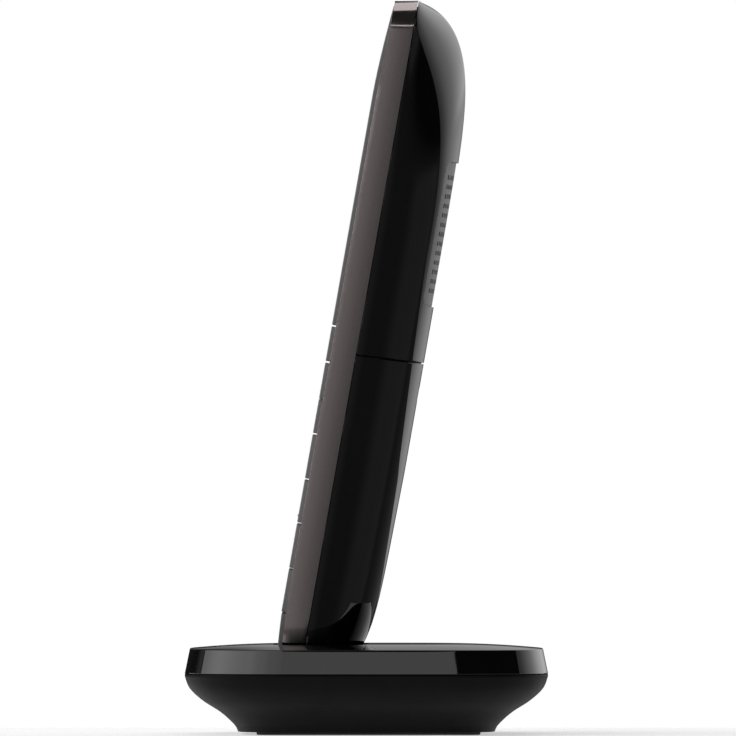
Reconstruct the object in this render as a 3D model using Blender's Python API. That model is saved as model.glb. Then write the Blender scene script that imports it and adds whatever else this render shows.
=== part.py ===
"""Cordless phone standing in its charging base.

World frame: metres, +Z up, the phone faces -Y, and the origin is the middle of the base's underside.
The handset has a frame of its own, held by an empty: its x is sideways, its y runs from the front face
into the phone (depth) and its z runs up the phone (length).  Sizes below are in millimetres.
"""
from math import acos, copysign, cos, pi, radians, sin, sqrt

import bmesh
import bpy

MM = 0.001
GAP = 0.3                       # clearance between neighbouring pieces

# ---- handset: outer size and place ----
LEAN = 10.0                     # degrees the handset leans back in the base
HANDSET_Y = -23.3               # front bottom edge of the docked handset
HANDSET_Z = 12.8
HALF_WIDTH = 24.0
CORNER = 7.0                    # corner radius seen from the front
LENGTH = 166.69                 # where the rear shell meets the front frame at the top
THICKNESS = 23.3
PARTING = 6.95                  # depth of the joint line between front frame and rear shells
TOP_SLANT = 0.19                # rise of the top end face per depth
SECTION_POWER = 3.4             # squareness of the rounded rear section
DOME = (112.0, 160.0)           # length over which the rear section turns into a round dome
DOME_POWER = 1.5
TAPER = 3.2                     # how much each side draws in at the bottom end
TAPER_LENGTH = 22.0
WALL = 1.6

# ---- handset: rear shells ----
SEAM = 80.85                    # joint between rear housing and battery cover
SEAM_SLOPE = 0.045
TAIL_TOP = 7.6                  # joint between battery cover and the fixed tail
TAIL_SLOPE = -0.1
COVER_PIVOT = (13.0, 8.5)       # depth, length of the cover's hook line
TRAY_DEPTH = (7.25, 8.85)
TRAY_HALF = 20.6
GRILLE = (95.05, 130.05)
GRILLE_HALF = 19.0
GRILLE_SINK = 0.5
GRILLE_THICK = 1.0
POCKET_DEPTH = 1.9
POCKET_WALL = 3.3
GRILLE_ROWS = 13
SOUND_RADIUS = 11.0

# ---- handset: front ----
RIM = 1.0                       # how far keys and fascias stand proud of the frame
FIELD_HALF = 22.9               # half width of keys and fascias
FIELD_ENDS = (1.2, 164.4)
FIELD_CORNER = 5.9
TILE_THICK = 1.9
TILE_EASE = 0.2
GROOVE = 0.4
DECK = (2.6, 3.6)
ROW_EDGES = (16.8, 27.5, 38.5, 49.2, 60.2, 68.7, 77.7, 86.5)
NAV_HALF = 8.6
OK_HALF = 3.6
PLUNGER_AT = 6.3                # nav ring's plungers, from its middle
PLUNGER_HALF = (1.6, 1.1)
STEM_HALF = 2.0
STEM_END = 3.4
MAT = (4.1, 4.7)
PCB = (5.0, 6.2)
DISPLAY = (97.0, 135.0)
DISPLAY_HALF = 18.0
EARPIECE = 153.0
MICROPHONE = 6.0

# ---- handset: inside ----
CELL_RADIUS = 5.25
CELL_LENGTH = 44.5
CELL_START = 29.0
CELL_X = 6.1
CELL_DEPTH = 14.6
PAD_X = 11.0
PAD_DEPTH = 9.6
PAD_HALF = (2.0, 1.2)
SCREW_X = 17.3
SCREW_AT = 12.0

# ---- base ----
BASE_X = 49.0
BASE_Y = 43.55
PLAN_POWER = 4.0                # squareness of the base seen from above
BASE_JOINT = 14.64              # height of the joint between top plate and lower housing
CROWN_EDGE = 20.5
CROWN_TOP = 21.65
CROWN_WIDTH = 23.0
BAND_INSET = 1.2
FLOOR_TOP = 3.0
BASE_WALL = 2.0
WELL_BOTTOM = -0.4              # along the handset's length
WELL_WALL = 1.5
WELL_GAP = (0.6, 0.5, 1.1)      # side, front, back
WELL_BACK = 20.9
BUTTON_Y = -34.5
LIGHT_Y = -28.6
BOSSES = [(side * 30.5, y) for side in (-1, 1) for y in (-15.0, 17.0)]
BOSS_RADIUS = 3.0
FOOT_X = 20.0
FOOT_HALF_LENGTH = 26.8
LINE_X = -8.5
JACK_X = 9.0


# ---------------------------------------------------------------- tools

def clear_scene():
    for old in list(bpy.data.objects):
        bpy.data.objects.remove(old, do_unlink=True)


def material(name, colour, roughness, metallic=0.0):
    made = bpy.data.materials.new(name)
    made.use_nodes = True
    shader = made.node_tree.nodes["Principled BSDF"]
    shader.inputs["Base Color"].default_value = (*colour, 1.0)
    shader.inputs["Roughness"].default_value = roughness
    shader.inputs["Metallic"].default_value = metallic
    return made


def body(name, rings, finish=None, parent=None, origin=(0, 0, 0), closed_tube=False):
    """One closed solid through rings of equally many points, capped unless it is a closed tube."""
    mesh = bpy.data.meshes.new(name)
    shape = bmesh.new()
    rows = []
    for ring in rings:
        rows.append([shape.verts.new([(c - o) * MM for c, o in zip(p, origin)]) for p in ring])
    pairs = list(zip(rows, rows[1:]))
    if closed_tube:
        pairs.append((rows[-1], rows[0]))
    else:
        shape.faces.new(rows[0])
        shape.faces.new(rows[-1])
    count = len(rows[0])
    for low, high in pairs:
        for i in range(count):
            j = (i + 1) % count
            shape.faces.new((low[i], low[j], high[j], high[i]))
    bmesh.ops.recalc_face_normals(shape, faces=shape.faces)
    shape.to_mesh(mesh)
    shape.free()
    made = bpy.data.objects.new(name, mesh)
    bpy.context.scene.collection.objects.link(made)
    made.location = [o * MM for o in origin]
    made.parent = parent
    if finish:
        mesh.materials.append(finish)
        mesh.shade_smooth()
        mesh.set_sharp_from_angle(angle=radians(35))
    return made


def cutter(name, rings, parent=None, closed_tube=False):
    made = body(name, rings, parent=parent, closed_tube=closed_tube)
    hide(made)
    return made


def hide(made):
    made.hide_render = True
    made.display_type = "WIRE"


def combine(target, other, operation):
    step = target.modifiers.new(other.name, "BOOLEAN")
    step.object = other
    step.operation = operation
    step.solver = "EXACT"


def cut(target, *others):
    for other in others:
        combine(target, other, "DIFFERENCE")


def join(target, *others):
    for other in others:
        combine(target, other, "UNION")


def outline(centre, half, radius, steps=2):
    """Rounded rectangle as (a, b) pairs."""
    pairs = []
    for quarter in range(4):
        start = quarter * pi / 2
        side_a = 1 if quarter in (0, 3) else -1
        side_b = 1 if quarter < 2 else -1
        for i in range(steps + 1):
            angle = start + i * pi / 2 / steps
            pairs.append((centre[0] + side_a * (half[0] - radius) + radius * cos(angle),
                          centre[1] + side_b * (half[1] - radius) + radius * sin(angle)))
    return pairs


def rectangle(centre, half):
    return [(centre[0] + a * half[0], centre[1] + b * half[1]) for a, b in ((1, 1), (-1, 1), (-1, -1), (1, -1))]


def circle(centre, radius, count=20):
    return [(centre[0] + radius * cos(2 * pi * i / count), centre[1] + radius * sin(2 * pi * i / count))
            for i in range(count)]


def deep(pairs, depth):
    """Outline across the handset's front, set at a depth."""
    return [(a, depth, b) for a, b in pairs]


def level(pairs, height):
    """Outline seen from above, set at a height."""
    return [(a, b, height) for a, b in pairs]


def across(pairs, length):
    """Outline of the handset's cross-section, set at a length."""
    return [(a, b, length) for a, b in pairs]


def plate(name, pairs, low, high, finish=None, parent=None, place=deep):
    """Straight solid with the given outline; without a finish it is a cutter."""
    rings = [place(pairs, low), place(pairs, high)]
    if finish:
        return body(name, rings, finish, parent)
    return cutter(name, rings, parent)


def stepped(name, steps, finish=None, parent=None, place=deep, origin=(0, 0, 0)):
    """A turned or stepped solid from (outline, position) pairs of equal point count."""
    rings = [place(pairs, position) for pairs, position in steps]
    if finish:
        return body(name, rings, finish, parent, origin)
    return cutter(name, rings, parent)


def many(name, groups, parent=None):
    """One cutter object that holds several separate solids, each given as a list of rings."""
    parts = [body(name, rings, parent=parent) for rings in groups]
    shape = bmesh.new()
    for part in parts:
        shape.from_mesh(part.data)
    first = parts[0]
    shape.to_mesh(first.data)
    shape.free()
    for part in parts[1:]:
        bpy.data.objects.remove(part, do_unlink=True)
    hide(first)
    return first


# ---------------------------------------------------------------- handset surfaces

def front_depth(u):
    """Front face: flat, easing back at both ends."""
    if u > 142.0:
        return 1.42 * ((u - 142.0) / 23.5) ** 1.7
    if u < 20.0:
        return 1.25 * ((20.0 - u) / 20.0) ** 1.4
    return 0.0


def back_depth(u):
    """Rear face along the middle: fullest at u = 55 to 95, rounded off at both ends."""
    if u > 95.0:
        reach = min((u - 95.0) / 71.86, 1.0)
        return 4.0 + (THICKNESS - 4.0) * (1.0 - reach ** 5.6) ** (1 / 2.3)
    if u < 55.0:
        return THICKNESS - 0.017 * (55.0 - u) - 10.0 * ((55.0 - u) / 55.0) ** 6.5
    return THICKNESS


def rounded_half(u, low, high, half, radius):
    """Half width at u of a strip from low to high whose corners are rounded."""
    near = max(min(u - low, high - u, radius), 0.0)
    return half - radius + sqrt(radius ** 2 - (radius - near) ** 2)


def taper(u):
    """How much each side has drawn in at u, near the bottom end."""
    return TAPER * max(0.0, 1.0 - u / TAPER_LENGTH) ** 2


def half_width(u, inset=0.0):
    """Half the rear shell's width, with its corners rounded as seen from the front."""
    return rounded_half(u, inset, LENGTH - inset, HALF_WIDTH - inset, CORNER - inset) - taper(u)


def section_power(u):
    """The rear is squarish along the body and becomes a round dome towards the top end."""
    reach = min(max((u - DOME[0]) / (DOME[1] - DOME[0]), 0.0), 1.0)
    return SECTION_POWER + (DOME_POWER - SECTION_POWER) * reach * reach * (3 - 2 * reach)


def corner_stations(end, direction, radius=CORNER, steps=6):
    """Lengths at which a rounded corner is sampled, from the end inwards."""
    return [end + direction * radius * (1 - cos(pi / 2 * i / steps)) for i in range(steps + 1)]


def rear_section(u, inset=0.0, depth_inset=None, edge=None, slope=0.0, steps=20, reach=pi):
    """Closed loop across the rear shell at u: a rounded arch on a straight front edge."""
    back_inset = inset if depth_inset is None else depth_inset
    start = PARTING + GAP / 2 if edge is None else edge
    wide = half_width(u, inset)
    power = 2 / section_power(u)
    # the inner surface reads the profile a little nearer each end, which keeps the end walls thick
    at = u + inset if u > 95.0 else u - min(inset, u)
    high = max(back_depth(at) - back_inset - start, 0.02)
    points = []
    first = (pi - reach) / 2
    for i in range(steps + 1):
        angle = first + reach * i / steps
        x = copysign(wide * abs(cos(angle)) ** power, cos(angle))
        v = start + high * sin(angle) ** power
        points.append((x, v, u + slope * (v - start)))
    return points


def tapered_outline(low, high, half, corner):
    """Rounded strip from low to high, seen from the front, that follows the taper at the bottom end."""
    stations = corner_stations(low, 1, corner, 5) + [10.0, 13.0, 17.0, 22.0]
    stations += sorted(corner_stations(high, -1, corner, 5))
    side = [(rounded_half(u, low, high, half, corner) - taper(u), u) for u in stations]
    return side + [(-x, u) for x, u in reversed(side)]


def front_section(u, low, high, half, slope=0.0):
    return [(half, low, u + slope * low), (half, high, u + slope * high),
            (-half, high, u + slope * high), (-half, low, u + slope * low)]


# ---------------------------------------------------------------- handset front

def make_front_frame(parent, finish):
    frame_back = PARTING - GAP / 2
    end = LENGTH - TOP_SLANT * frame_back
    stations = corner_stations(0.0, 1) + [10.0, 13.0, 17.0, 22.0, 60.0, 100.0, 142.0, 151.0]
    stations += sorted(corner_stations(end, -1))
    rings = []
    for u in stations:
        ease = min(1.0, max(0.0, (u - 150.0) / (end - 150.0)))
        rim = front_depth(u) + RIM - 0.7 * ease ** 3
        half = rounded_half(u, 0.0, end, HALF_WIDTH, CORNER) - taper(u)
        rings.append(front_section(u, rim, frame_back, half, TOP_SLANT * ease))
    frame = body("front_frame", rings, finish, parent)

    field = tapered_outline(FIELD_ENDS[0] - GAP, FIELD_ENDS[1] + GAP, FIELD_HALF + GAP, FIELD_CORNER + GAP)
    inside = tapered_outline(FIELD_ENDS[0] + 0.7, FIELD_ENDS[1] + 0.1, HALF_WIDTH - WALL, CORNER - WALL)
    cut(frame, plate("field_recess", field, -3.0, DECK[0], parent=parent))
    cut(frame, plate("frame_cavity", inside, DECK[1], 9.0, parent=parent))

    bosses = [[deep(circle((side * SCREW_X, SCREW_AT), 2.6), d) for d in (3.2, frame_back)] for side in (-1, 1)]
    join(frame, many("frame_bosses", bosses, parent))
    holes = [[deep(circle((side * SCREW_X, SCREW_AT), 1.3), d) for d in (4.0, 9.0)] for side in (-1, 1)]
    cut(frame, many("frame_boss_holes", holes, parent))

    through = (DECK[0] - 1.0, DECK[1] + 1.0)
    stem_room = STEM_HALF + 0.4
    openings = []
    for centre in [place[0] for place in key_places().values()] + [(0.0, nav_centre())]:
        openings.append([deep(outline(centre, (stem_room, stem_room), 0.8), d) for d in through])
    for side in (-1, 1):
        centre = (0.0, nav_centre() + side * PLUNGER_AT)
        room = (PLUNGER_HALF[0] + 0.4, PLUNGER_HALF[1] + 0.5)
        openings.append([deep(outline(centre, room, 0.5), d) for d in through])
    display_middle = (0, sum(DISPLAY) / 2)
    display_half = (DISPLAY_HALF + 0.9, (DISPLAY[1] - DISPLAY[0]) / 2 + 0.9)
    openings.append([deep(outline(display_middle, display_half, 1.0), d) for d in (1.6, 4.6)])
    openings.append([deep(circle((0, EARPIECE), 6.5, 12), d) for d in (1.6, 4.6)])
    openings.append([deep(circle((0, MICROPHONE), 1.5, 12), d) for d in (1.6, 4.6)])
    cut(frame, many("deck_openings", openings, parent))


def fascia_rings(stations, thick):
    rings = []
    for u in stations:
        half = rounded_half(u, FIELD_ENDS[0], FIELD_ENDS[1], FIELD_HALF, FIELD_CORNER) - taper(u)
        ease = TILE_EASE
        low = front_depth(u)
        high = min(low + thick, DECK[0] - GAP)
        rings.append([(half - ease, low, u), (half, low + ease, u), (half, high, u),
                      (-half, high, u), (-half, low + ease, u), (-half + ease, low, u)])
    return rings


def make_fascias(parent, finish):
    top = [ROW_EDGES[-1] + GROOVE / 2, 142.0, 150.0, 156.0]
    top += sorted(corner_stations(FIELD_ENDS[1], -1, FIELD_CORNER, 5))
    upper = body("upper_fascia", fascia_rings(top, 1.4), finish, parent)
    middle = (0, sum(DISPLAY) / 2)
    half = (DISPLAY_HALF + GAP, (DISPLAY[1] - DISPLAY[0]) / 2 + GAP)
    cut(upper, plate("display_opening", outline(middle, half, 1.3), -1.0, 3.0, parent=parent))
    cut(upper, plate("earpiece_opening", outline((0, EARPIECE), (6.3, 1.4), 1.2), -1.0, 3.0, parent=parent))

    bottom = corner_stations(FIELD_ENDS[0], 1, FIELD_CORNER, 5) + [9.5, 12.5, ROW_EDGES[0] - GROOVE / 2]
    lower = body("lower_fascia", fascia_rings(bottom, 1.2), finish, parent)
    cut(lower, plate("microphone_hole", outline((0, MICROPHONE), (1.6, 0.5), 0.4), -1.0, 4.0, parent=parent))


def nav_centre():
    return (ROW_EDGES[4] + ROW_EDGES[6]) / 2


def key_places():
    """Name of each flat key, with its centre and its half size across and along the handset."""
    third = FIELD_HALF * 2 / 3
    places = {}
    names = (("key_star", "key_0", "key_hash"), ("key_7", "key_8", "key_9"),
             ("key_4", "key_5", "key_6"), ("key_1", "key_2", "key_3"))
    for row, trio in enumerate(names):
        low, high = ROW_EDGES[row], ROW_EDGES[row + 1]
        for column, name in enumerate(trio):
            left = -FIELD_HALF + column * third + (GROOVE / 2 if column else 0)
            right = -FIELD_HALF + (column + 1) * third - (GROOVE / 2 if column < 2 else 0)
            centre = ((left + right) / 2, (low + high) / 2)
            places[name] = (centre, ((right - left) / 2, (high - low - GROOVE) / 2))
    side_names = (("key_talk", "key_end"), ("key_speaker", "key_menu"), ("soft_key_left", "soft_key_right"))
    for row, pair in enumerate(side_names):
        low, high = ROW_EDGES[row + 4], ROW_EDGES[row + 5]
        inner = NAV_HALF + GROOVE / 2 if row < 2 else GROOVE / 2
        middle = (FIELD_HALF + inner) / 2
        for side, name in zip((-1, 1), pair):
            half = ((FIELD_HALF - inner) / 2, (high - low - GROOVE) / 2)
            places[name] = ((side * middle, (low + high) / 2), half)
    return places


def make_key(name, centre, half, radius, finish, parent):
    """A key cap with an eased front edge and a plunger that passes through the deck."""
    eased = (half[0] - TILE_EASE, half[1] - TILE_EASE)
    stem = (STEM_HALF, STEM_HALF)
    steps = [(outline(centre, eased, max(radius - TILE_EASE, 0.05)), 0.0),
             (outline(centre, half, radius), TILE_EASE),
             (outline(centre, half, radius), TILE_THICK),
             (outline(centre, stem, 0.6), TILE_THICK),
             (outline(centre, stem, 0.6), STEM_END)]
    return stepped(name, steps, finish, parent, origin=(centre[0], 0.0, centre[1]))


def make_keys(parent, finish, nav_finish):
    for name, (centre, half) in key_places().items():
        made = make_key(name, centre, half, 0.3, finish, parent)
        if name == "key_5":
            nib = cutter("five_nib", [deep(outline((centre[0], centre[1] - 3.6), (1.4, 0.3), 0.25), d)
                                      for d in (-0.2, 0.6)], parent)
            join(made, nib)
    middle = (0.0, nav_centre())
    make_key("nav_ok", middle, (OK_HALF, OK_HALF), 1.6, nav_finish, parent)

    half = (NAV_HALF - GROOVE / 2, (ROW_EDGES[6] - ROW_EDGES[4] - GROOVE) / 2)
    hole = (OK_HALF + 0.45, OK_HALF + 0.45)
    eased = (half[0] - TILE_EASE, half[1] - TILE_EASE)
    pivot = (0.0, 3.0, nav_centre())
    rings = [deep(outline(middle, half, 2.4, 4), TILE_THICK), deep(outline(middle, half, 2.4, 4), TILE_EASE),
             deep(outline(middle, eased, 2.2, 4), 0.0), deep(outline(middle, hole, 2.0, 4), 0.0),
             deep(outline(middle, hole, 2.0, 4), TILE_THICK)]
    ring = body("nav_ring", rings, nav_finish, parent, pivot, closed_tube=True)
    plungers = [[deep(outline((0.0, nav_centre() + PLUNGER_AT * side), PLUNGER_HALF, 0.4), d)
                 for d in (1.2, STEM_END)] for side in (-1, 1)]
    join(ring, many("nav_plungers", plungers, parent))


def make_display(parent, glass, finish):
    middle = (0, sum(DISPLAY) / 2)
    half = (DISPLAY_HALF, (DISPLAY[1] - DISPLAY[0]) / 2)
    plate("display_lens", outline(middle, half, 1.0), 0.0, 1.3, glass, parent)
    plate("lcd_module", outline(middle, (half[0] + 0.4, half[1] + 0.4), 0.8), 1.8, 4.6, finish, parent)


# ---------------------------------------------------------------- handset inside

def make_electronics(parent, board, metal, rubber, cone):
    pad_middle = (ROW_EDGES[0] + ROW_EDGES[-1]) / 2
    pad_half = (ROW_EDGES[-1] - ROW_EDGES[0]) / 2 - 1.0
    plate("keypad_mat", outline((0, pad_middle), (21.0, pad_half), 2.0), *MAT, rubber, parent)
    plate("handset_pcb", outline((0, 81.0), (21.0, 64.5), 3.0), *PCB, board, parent)
    stepped("earpiece_receiver", [(circle((0, EARPIECE), 6.0), 2.2), (circle((0, EARPIECE), 6.0), 4.2),
                                  (circle((0, EARPIECE), 4.6), 4.2), (circle((0, EARPIECE), 4.6), 5.6)],
            metal, parent)
    plate("earpiece_grille", outline((0, EARPIECE), (6.0, 1.1), 0.9), 0.75, 1.5, metal, parent)
    can, back = circle((0, MICROPHONE), 2.0, 16), circle((0, MICROPHONE), 1.5, 16)
    stepped("microphone", [(can, 4.0), (can, 5.4), (back, 5.4), (back, 6.2)], metal, parent)
    middle = (0, sum(GRILLE) / 2)
    stepped("loudspeaker", [(circle(middle, 7.0), 11.0), (circle(middle, 7.0), 14.5),
                            (circle(middle, 13.0), 16.0), (circle(middle, 13.5), 18.4)], cone, parent)


def make_batteries(parent, wrap, metal):
    end = CELL_START + CELL_LENGTH
    for side, name in ((-1, "left"), (1, "right")):
        middle = (side * CELL_X, CELL_DEPTH)
        flip = 1 if side > 0 else -1
        low, high = (CELL_START, end) if flip > 0 else (end, CELL_START)
        nib = 1.0 * flip
        stepped("battery_" + name, [(circle(middle, CELL_RADIUS), low), (circle(middle, CELL_RADIUS), high - nib),
                                    (circle(middle, 1.9), high - nib), (circle(middle, 1.9), high)],
                wrap, parent, across)
        if flip > 0:
            steps = [(4.0, CELL_START - GAP), (2.4, CELL_START - 3.4), (3.6, CELL_START - 3.8)]
        else:
            steps = [(4.0, end + GAP), (2.4, end + 1.6), (3.6, end + 2.0)]
        stepped("battery_spring_" + name, [(circle(middle, r, 12), u) for r, u in steps], metal, parent, across)
    plate("battery_link", outline((0, CELL_DEPTH - 1.0), (10.4, 3.6), 0.6), CELL_START - 4.5, CELL_START - 4.1,
          metal, parent, across)


def make_contacts_and_screws(parent, metal, steel):
    for side, name in ((-1, "left"), (1, "right")):
        plate("handset_pad_" + name, outline((side * PAD_X, PAD_DEPTH), PAD_HALF, 0.5), 0.05, 0.7,
              metal, parent, across)
        middle = (side * SCREW_X, SCREW_AT)
        stepped("handset_screw_" + name, [(circle(middle, 1.0, 12), 4.5), (circle(middle, 1.0, 12), 9.2),
                                          (circle(middle, 2.0, 12), 9.2), (circle(middle, 1.7, 12), 10.4)],
                steel, parent)


# ---------------------------------------------------------------- handset rear

def grille_band(stations, outer, inner, half):
    """Solid that follows the rear surface between two insets, over the grille's width."""
    rings = []
    for u in stations:
        reach = pi - 2 * acos((half / HALF_WIDTH) ** (section_power(u) / 2))
        outside = rear_section(u, outer, steps=14, reach=reach, edge=PARTING)
        inside = rear_section(u, inner, steps=14, reach=reach, edge=PARTING)
        rings.append(outside + inside[::-1])
    return rings


def make_rear_housing(parent, finish):
    slope = SEAM_SLOPE
    start = SEAM + 0.18
    top = sorted(corner_stations(LENGTH - 0.02, -1))
    stations = [start, 92.0, 104.0, 116.0, 127.0, 136.0, 143.0, 149.0, 154.0, 157.5] + top
    rings = [rear_section(u, slope=slope if u == start else 0.0) for u in stations]
    housing = body("rear_housing", rings, finish, parent)

    tail = [rear_section(u) for u in corner_stations(0.05, 1)[:-1]]
    tail.append(rear_section(TAIL_TOP, slope=TAIL_SLOPE))
    join(housing, cutter("tail_block", tail, parent))
    tray = outline((0, 43.5), (TRAY_HALF, 40.0), 3.0)
    join(housing, plate("tray_plate", tray, *TRAY_DEPTH, parent=parent))
    bay_low, bay_high = CELL_START - 4.9, CELL_START + CELL_LENGTH + 2.8
    bay = (0, (bay_low + bay_high) / 2)
    half = (CELL_X + CELL_RADIUS + 0.5, (bay_high - bay_low) / 2)
    outer = outline(bay, (half[0] + 1.2, half[1] + 1.2), 1.0)
    inner = outline(bay, half, 0.5)
    walls = [deep(outer, 8.2), deep(outer, CELL_DEPTH), deep(inner, CELL_DEPTH), deep(inner, 8.2)]
    join(housing, cutter("bay_walls", walls, parent, closed_tube=True))

    inside = []
    for u, wall in ((SEAM + 2.6, WALL), (GRILLE[0] - 3.0, WALL), (GRILLE[0] - 2.9, POCKET_WALL),
                    (GRILLE[1] + 2.9, POCKET_WALL), (GRILLE[1] + 3.0, WALL), (142.0, WALL), (149.0, WALL),
                    (155.0, WALL), (159.0, WALL), (162.0, WALL), (163.8, WALL), (164.6, WALL)):
        inside.append(rear_section(u, WALL, wall, edge=5.0))
    cut(housing, cutter("housing_cavity", inside, parent))
    tail_inside = [rear_section(u, WALL, WALL, edge=5.0) for u in (WALL, 3.0, 5.0)]
    cut(housing, cutter("tail_cavity", tail_inside, parent))

    pocket = [GRILLE[0] - GAP, 108.0, 119.0, GRILLE[1] + GAP]
    cut(housing, cutter("grille_pocket", grille_band(pocket, -1.5, POCKET_DEPTH, GRILLE_HALF + GAP), parent))
    middle = (0, sum(GRILLE) / 2)
    cut(housing, plate("sound_opening", circle(middle, SOUND_RADIUS, 24), 18.0, 25.0, parent=parent))
    holes = [[deep(circle((side * SCREW_X, SCREW_AT), 1.35, 12), d) for d in (6.0, 10.0)] for side in (-1, 1)]
    cut(housing, many("tray_screw_holes", holes, parent))
    room = (PAD_HALF[0] + GAP, PAD_HALF[1] + GAP)
    pads = [[across(outline((side * PAD_X, PAD_DEPTH), room, 0.6), u) for u in (-1.0, 1.0)] for side in (-1, 1)]
    cut(housing, many("pad_recesses", pads, parent))


def make_speaker_grille(parent, finish):
    stations = [GRILLE[0], 108.0, 119.0, GRILLE[1]]
    band = grille_band(stations, GRILLE_SINK, GRILLE_SINK + GRILLE_THICK, GRILLE_HALF)
    grille = body("speaker_grille", band, finish, parent)
    pitch = (GRILLE[1] - GRILLE[0] - 8.0) / (GRILLE_ROWS - 1)
    slots = []
    for row in range(GRILLE_ROWS):
        u = GRILLE[0] + 4.0 + row * pitch
        for side in (-1, 1):
            slots.append([deep(rectangle((side * 7.0, u), (6.4, 0.5)), d) for d in (18.0, 25.0)])
    cut(grille, many("grille_slots", slots, parent))


def make_battery_cover(parent, finish):
    origin = (0.0, *COVER_PIVOT)
    low = TAIL_TOP + GAP
    high = SEAM - 0.18
    stations = [low, 11.0, 15.0, 20.0, 27.0, 38.0, 55.0, high]
    rings = [rear_section(u, slope=SEAM_SLOPE if u == high else 0.0) for u in stations]
    cover = body("battery_cover", rings, finish, parent, origin)
    stations = [low - 1.5] + stations[1:-1] + [high + 2.0]
    inside = [rear_section(u, WALL, WALL, edge=5.0) for u in stations]
    cut(cover, cutter("cover_cavity", inside, parent))


# ---------------------------------------------------------------- base

def plan(inset, height, count=48):
    """Rounded outline of the base seen from above, drawn in from its widest line."""
    points = []
    for i in range(count):
        x, y = cos(2 * pi * i / count), sin(2 * pi * i / count)
        points.append((copysign((BASE_X - inset) * abs(x) ** (2 / PLAN_POWER), x),
                       copysign((BASE_Y - inset) * abs(y) ** (2 / PLAN_POWER), y), height))
    return points


def crown_height(inset):
    rise = min((inset - BAND_INSET) / CROWN_WIDTH, 1.0)
    return CROWN_EDGE + (CROWN_TOP - CROWN_EDGE) * (1 - (1 - rise) ** 2)


def crown_rings(drop, inset, low):
    """Top plate's outer skin, or the same skin moved in for the hollow under it."""
    rings = [plan(inset, low), plan(inset + BAND_INSET, CROWN_EDGE - drop)]
    for at in (3.0, 6.0, 10.0, 15.0, 20.0, 24.2):
        rings.append(plan(max(at, inset + BAND_INSET + 0.5), crown_height(at) - drop))
    return rings


def well_prism(name, grow, low, high, parent):
    """Straight pocket with the handset's section, along the handset's length."""
    side, front, back = (g + grow for g in WELL_GAP)
    points = []
    steps = 18
    start = PARTING
    for i in range(steps + 1):
        angle = pi * i / steps
        x = (HALF_WIDTH + side) * abs(cos(angle)) ** (2 / SECTION_POWER) * (1 if angle < pi / 2 else -1)
        points.append((x, start + (WELL_BACK + back - start) * sin(angle) ** (2 / SECTION_POWER)))
    points += [(-HALF_WIDTH - side, -front), (HALF_WIDTH + side, -front)]
    return cutter(name, [across(points, low), across(points, high)], parent)


def posts(name, radius, low, high, steps=12):
    """One upright cylinder at each of the base's four screw bosses."""
    return many(name, [[level(circle(place, radius, steps), z) for z in (low, high)] for place in BOSSES])


def make_top_plate(empty, finish):
    top = body("base_top_plate", crown_rings(0.0, 0.0, BASE_JOINT + GAP / 2), finish)
    hollow = cutter("crown_hollow", crown_rings(BASE_WALL, BASE_WALL, BASE_JOINT - 3.0))
    cut(hollow, well_prism("well_body", WELL_WALL, -2.0, 30.0, empty))
    cut(hollow, posts("boss_keepers", BOSS_RADIUS, 3.6, 25.0, 20))
    cut(top, hollow)
    join(top, well_prism("well_skirt", WELL_WALL, -2.0, 8.0, empty))
    join(top, posts("boss_posts", BOSS_RADIUS, 3.6, 19.0, 20))
    cut(top, well_prism("well_pocket", 0.0, WELL_BOTTOM, 40.0, empty))
    pins = [[across(circle((side * PAD_X, PAD_DEPTH), 1.5, 16), u) for u in (-4.0, 1.0)] for side in (-1, 1)]
    cut(top, many("pin_holes", pins, empty))
    cut(top, plate("button_hole", outline((0, BUTTON_Y), (8.3, 3.3), 2.6, 4), 12.0, 24.0, place=level))
    cut(top, plate("light_hole", outline((0, LIGHT_Y), (3.3, 0.9), 0.7), 12.0, 24.0, place=level))
    cut(top, posts("boss_holes", 1.3, 0.0, 14.0))


def make_lower_housing(finish):
    profile = ((0.72, 12.75), (2.4, 11.8), (5.28, 8.65), (8.16, 4.25), (11.04, 1.19), (13.9, 0.0))
    rings = [plan(inset, height) for height, inset in profile]
    rings.append(plan(0.0, BASE_JOINT - GAP / 2))
    lower = body("base_lower_housing", rings, finish)
    hollow = ((FLOOR_TOP, 13.2), (5.28, 11.25), (8.16, 6.75), (11.04, 3.2), (13.9, BASE_WALL), (17.0, BASE_WALL))
    cut(lower, cutter("housing_hollow", [plan(inset, height) for height, inset in hollow]))
    strips = [[level(outline((side * FOOT_X, 0.5), (4.3, FOOT_HALF_LENGTH + GAP), 4.2, 4), z) for z in (-1.0, 1.9)]
              for side in (-1, 1)]
    cut(lower, many("foot_recesses", strips))
    sockets = [[level(outline((LINE_X, 18.0), (7.0, 8.0), 0.5), z) for z in (-1.0, 5.0)],
               [level(outline((JACK_X, 16.0), (5.3, 6.3), 0.5), z) for z in (-1.0, 5.0)]]
    cut(lower, many("socket_openings", sockets))
    cut(lower, posts("floor_screw_holes", 1.35, -1.0, 5.0))
    cut(lower, posts("screw_head_recesses", 2.7, -1.0, 2.0, 16))


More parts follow.
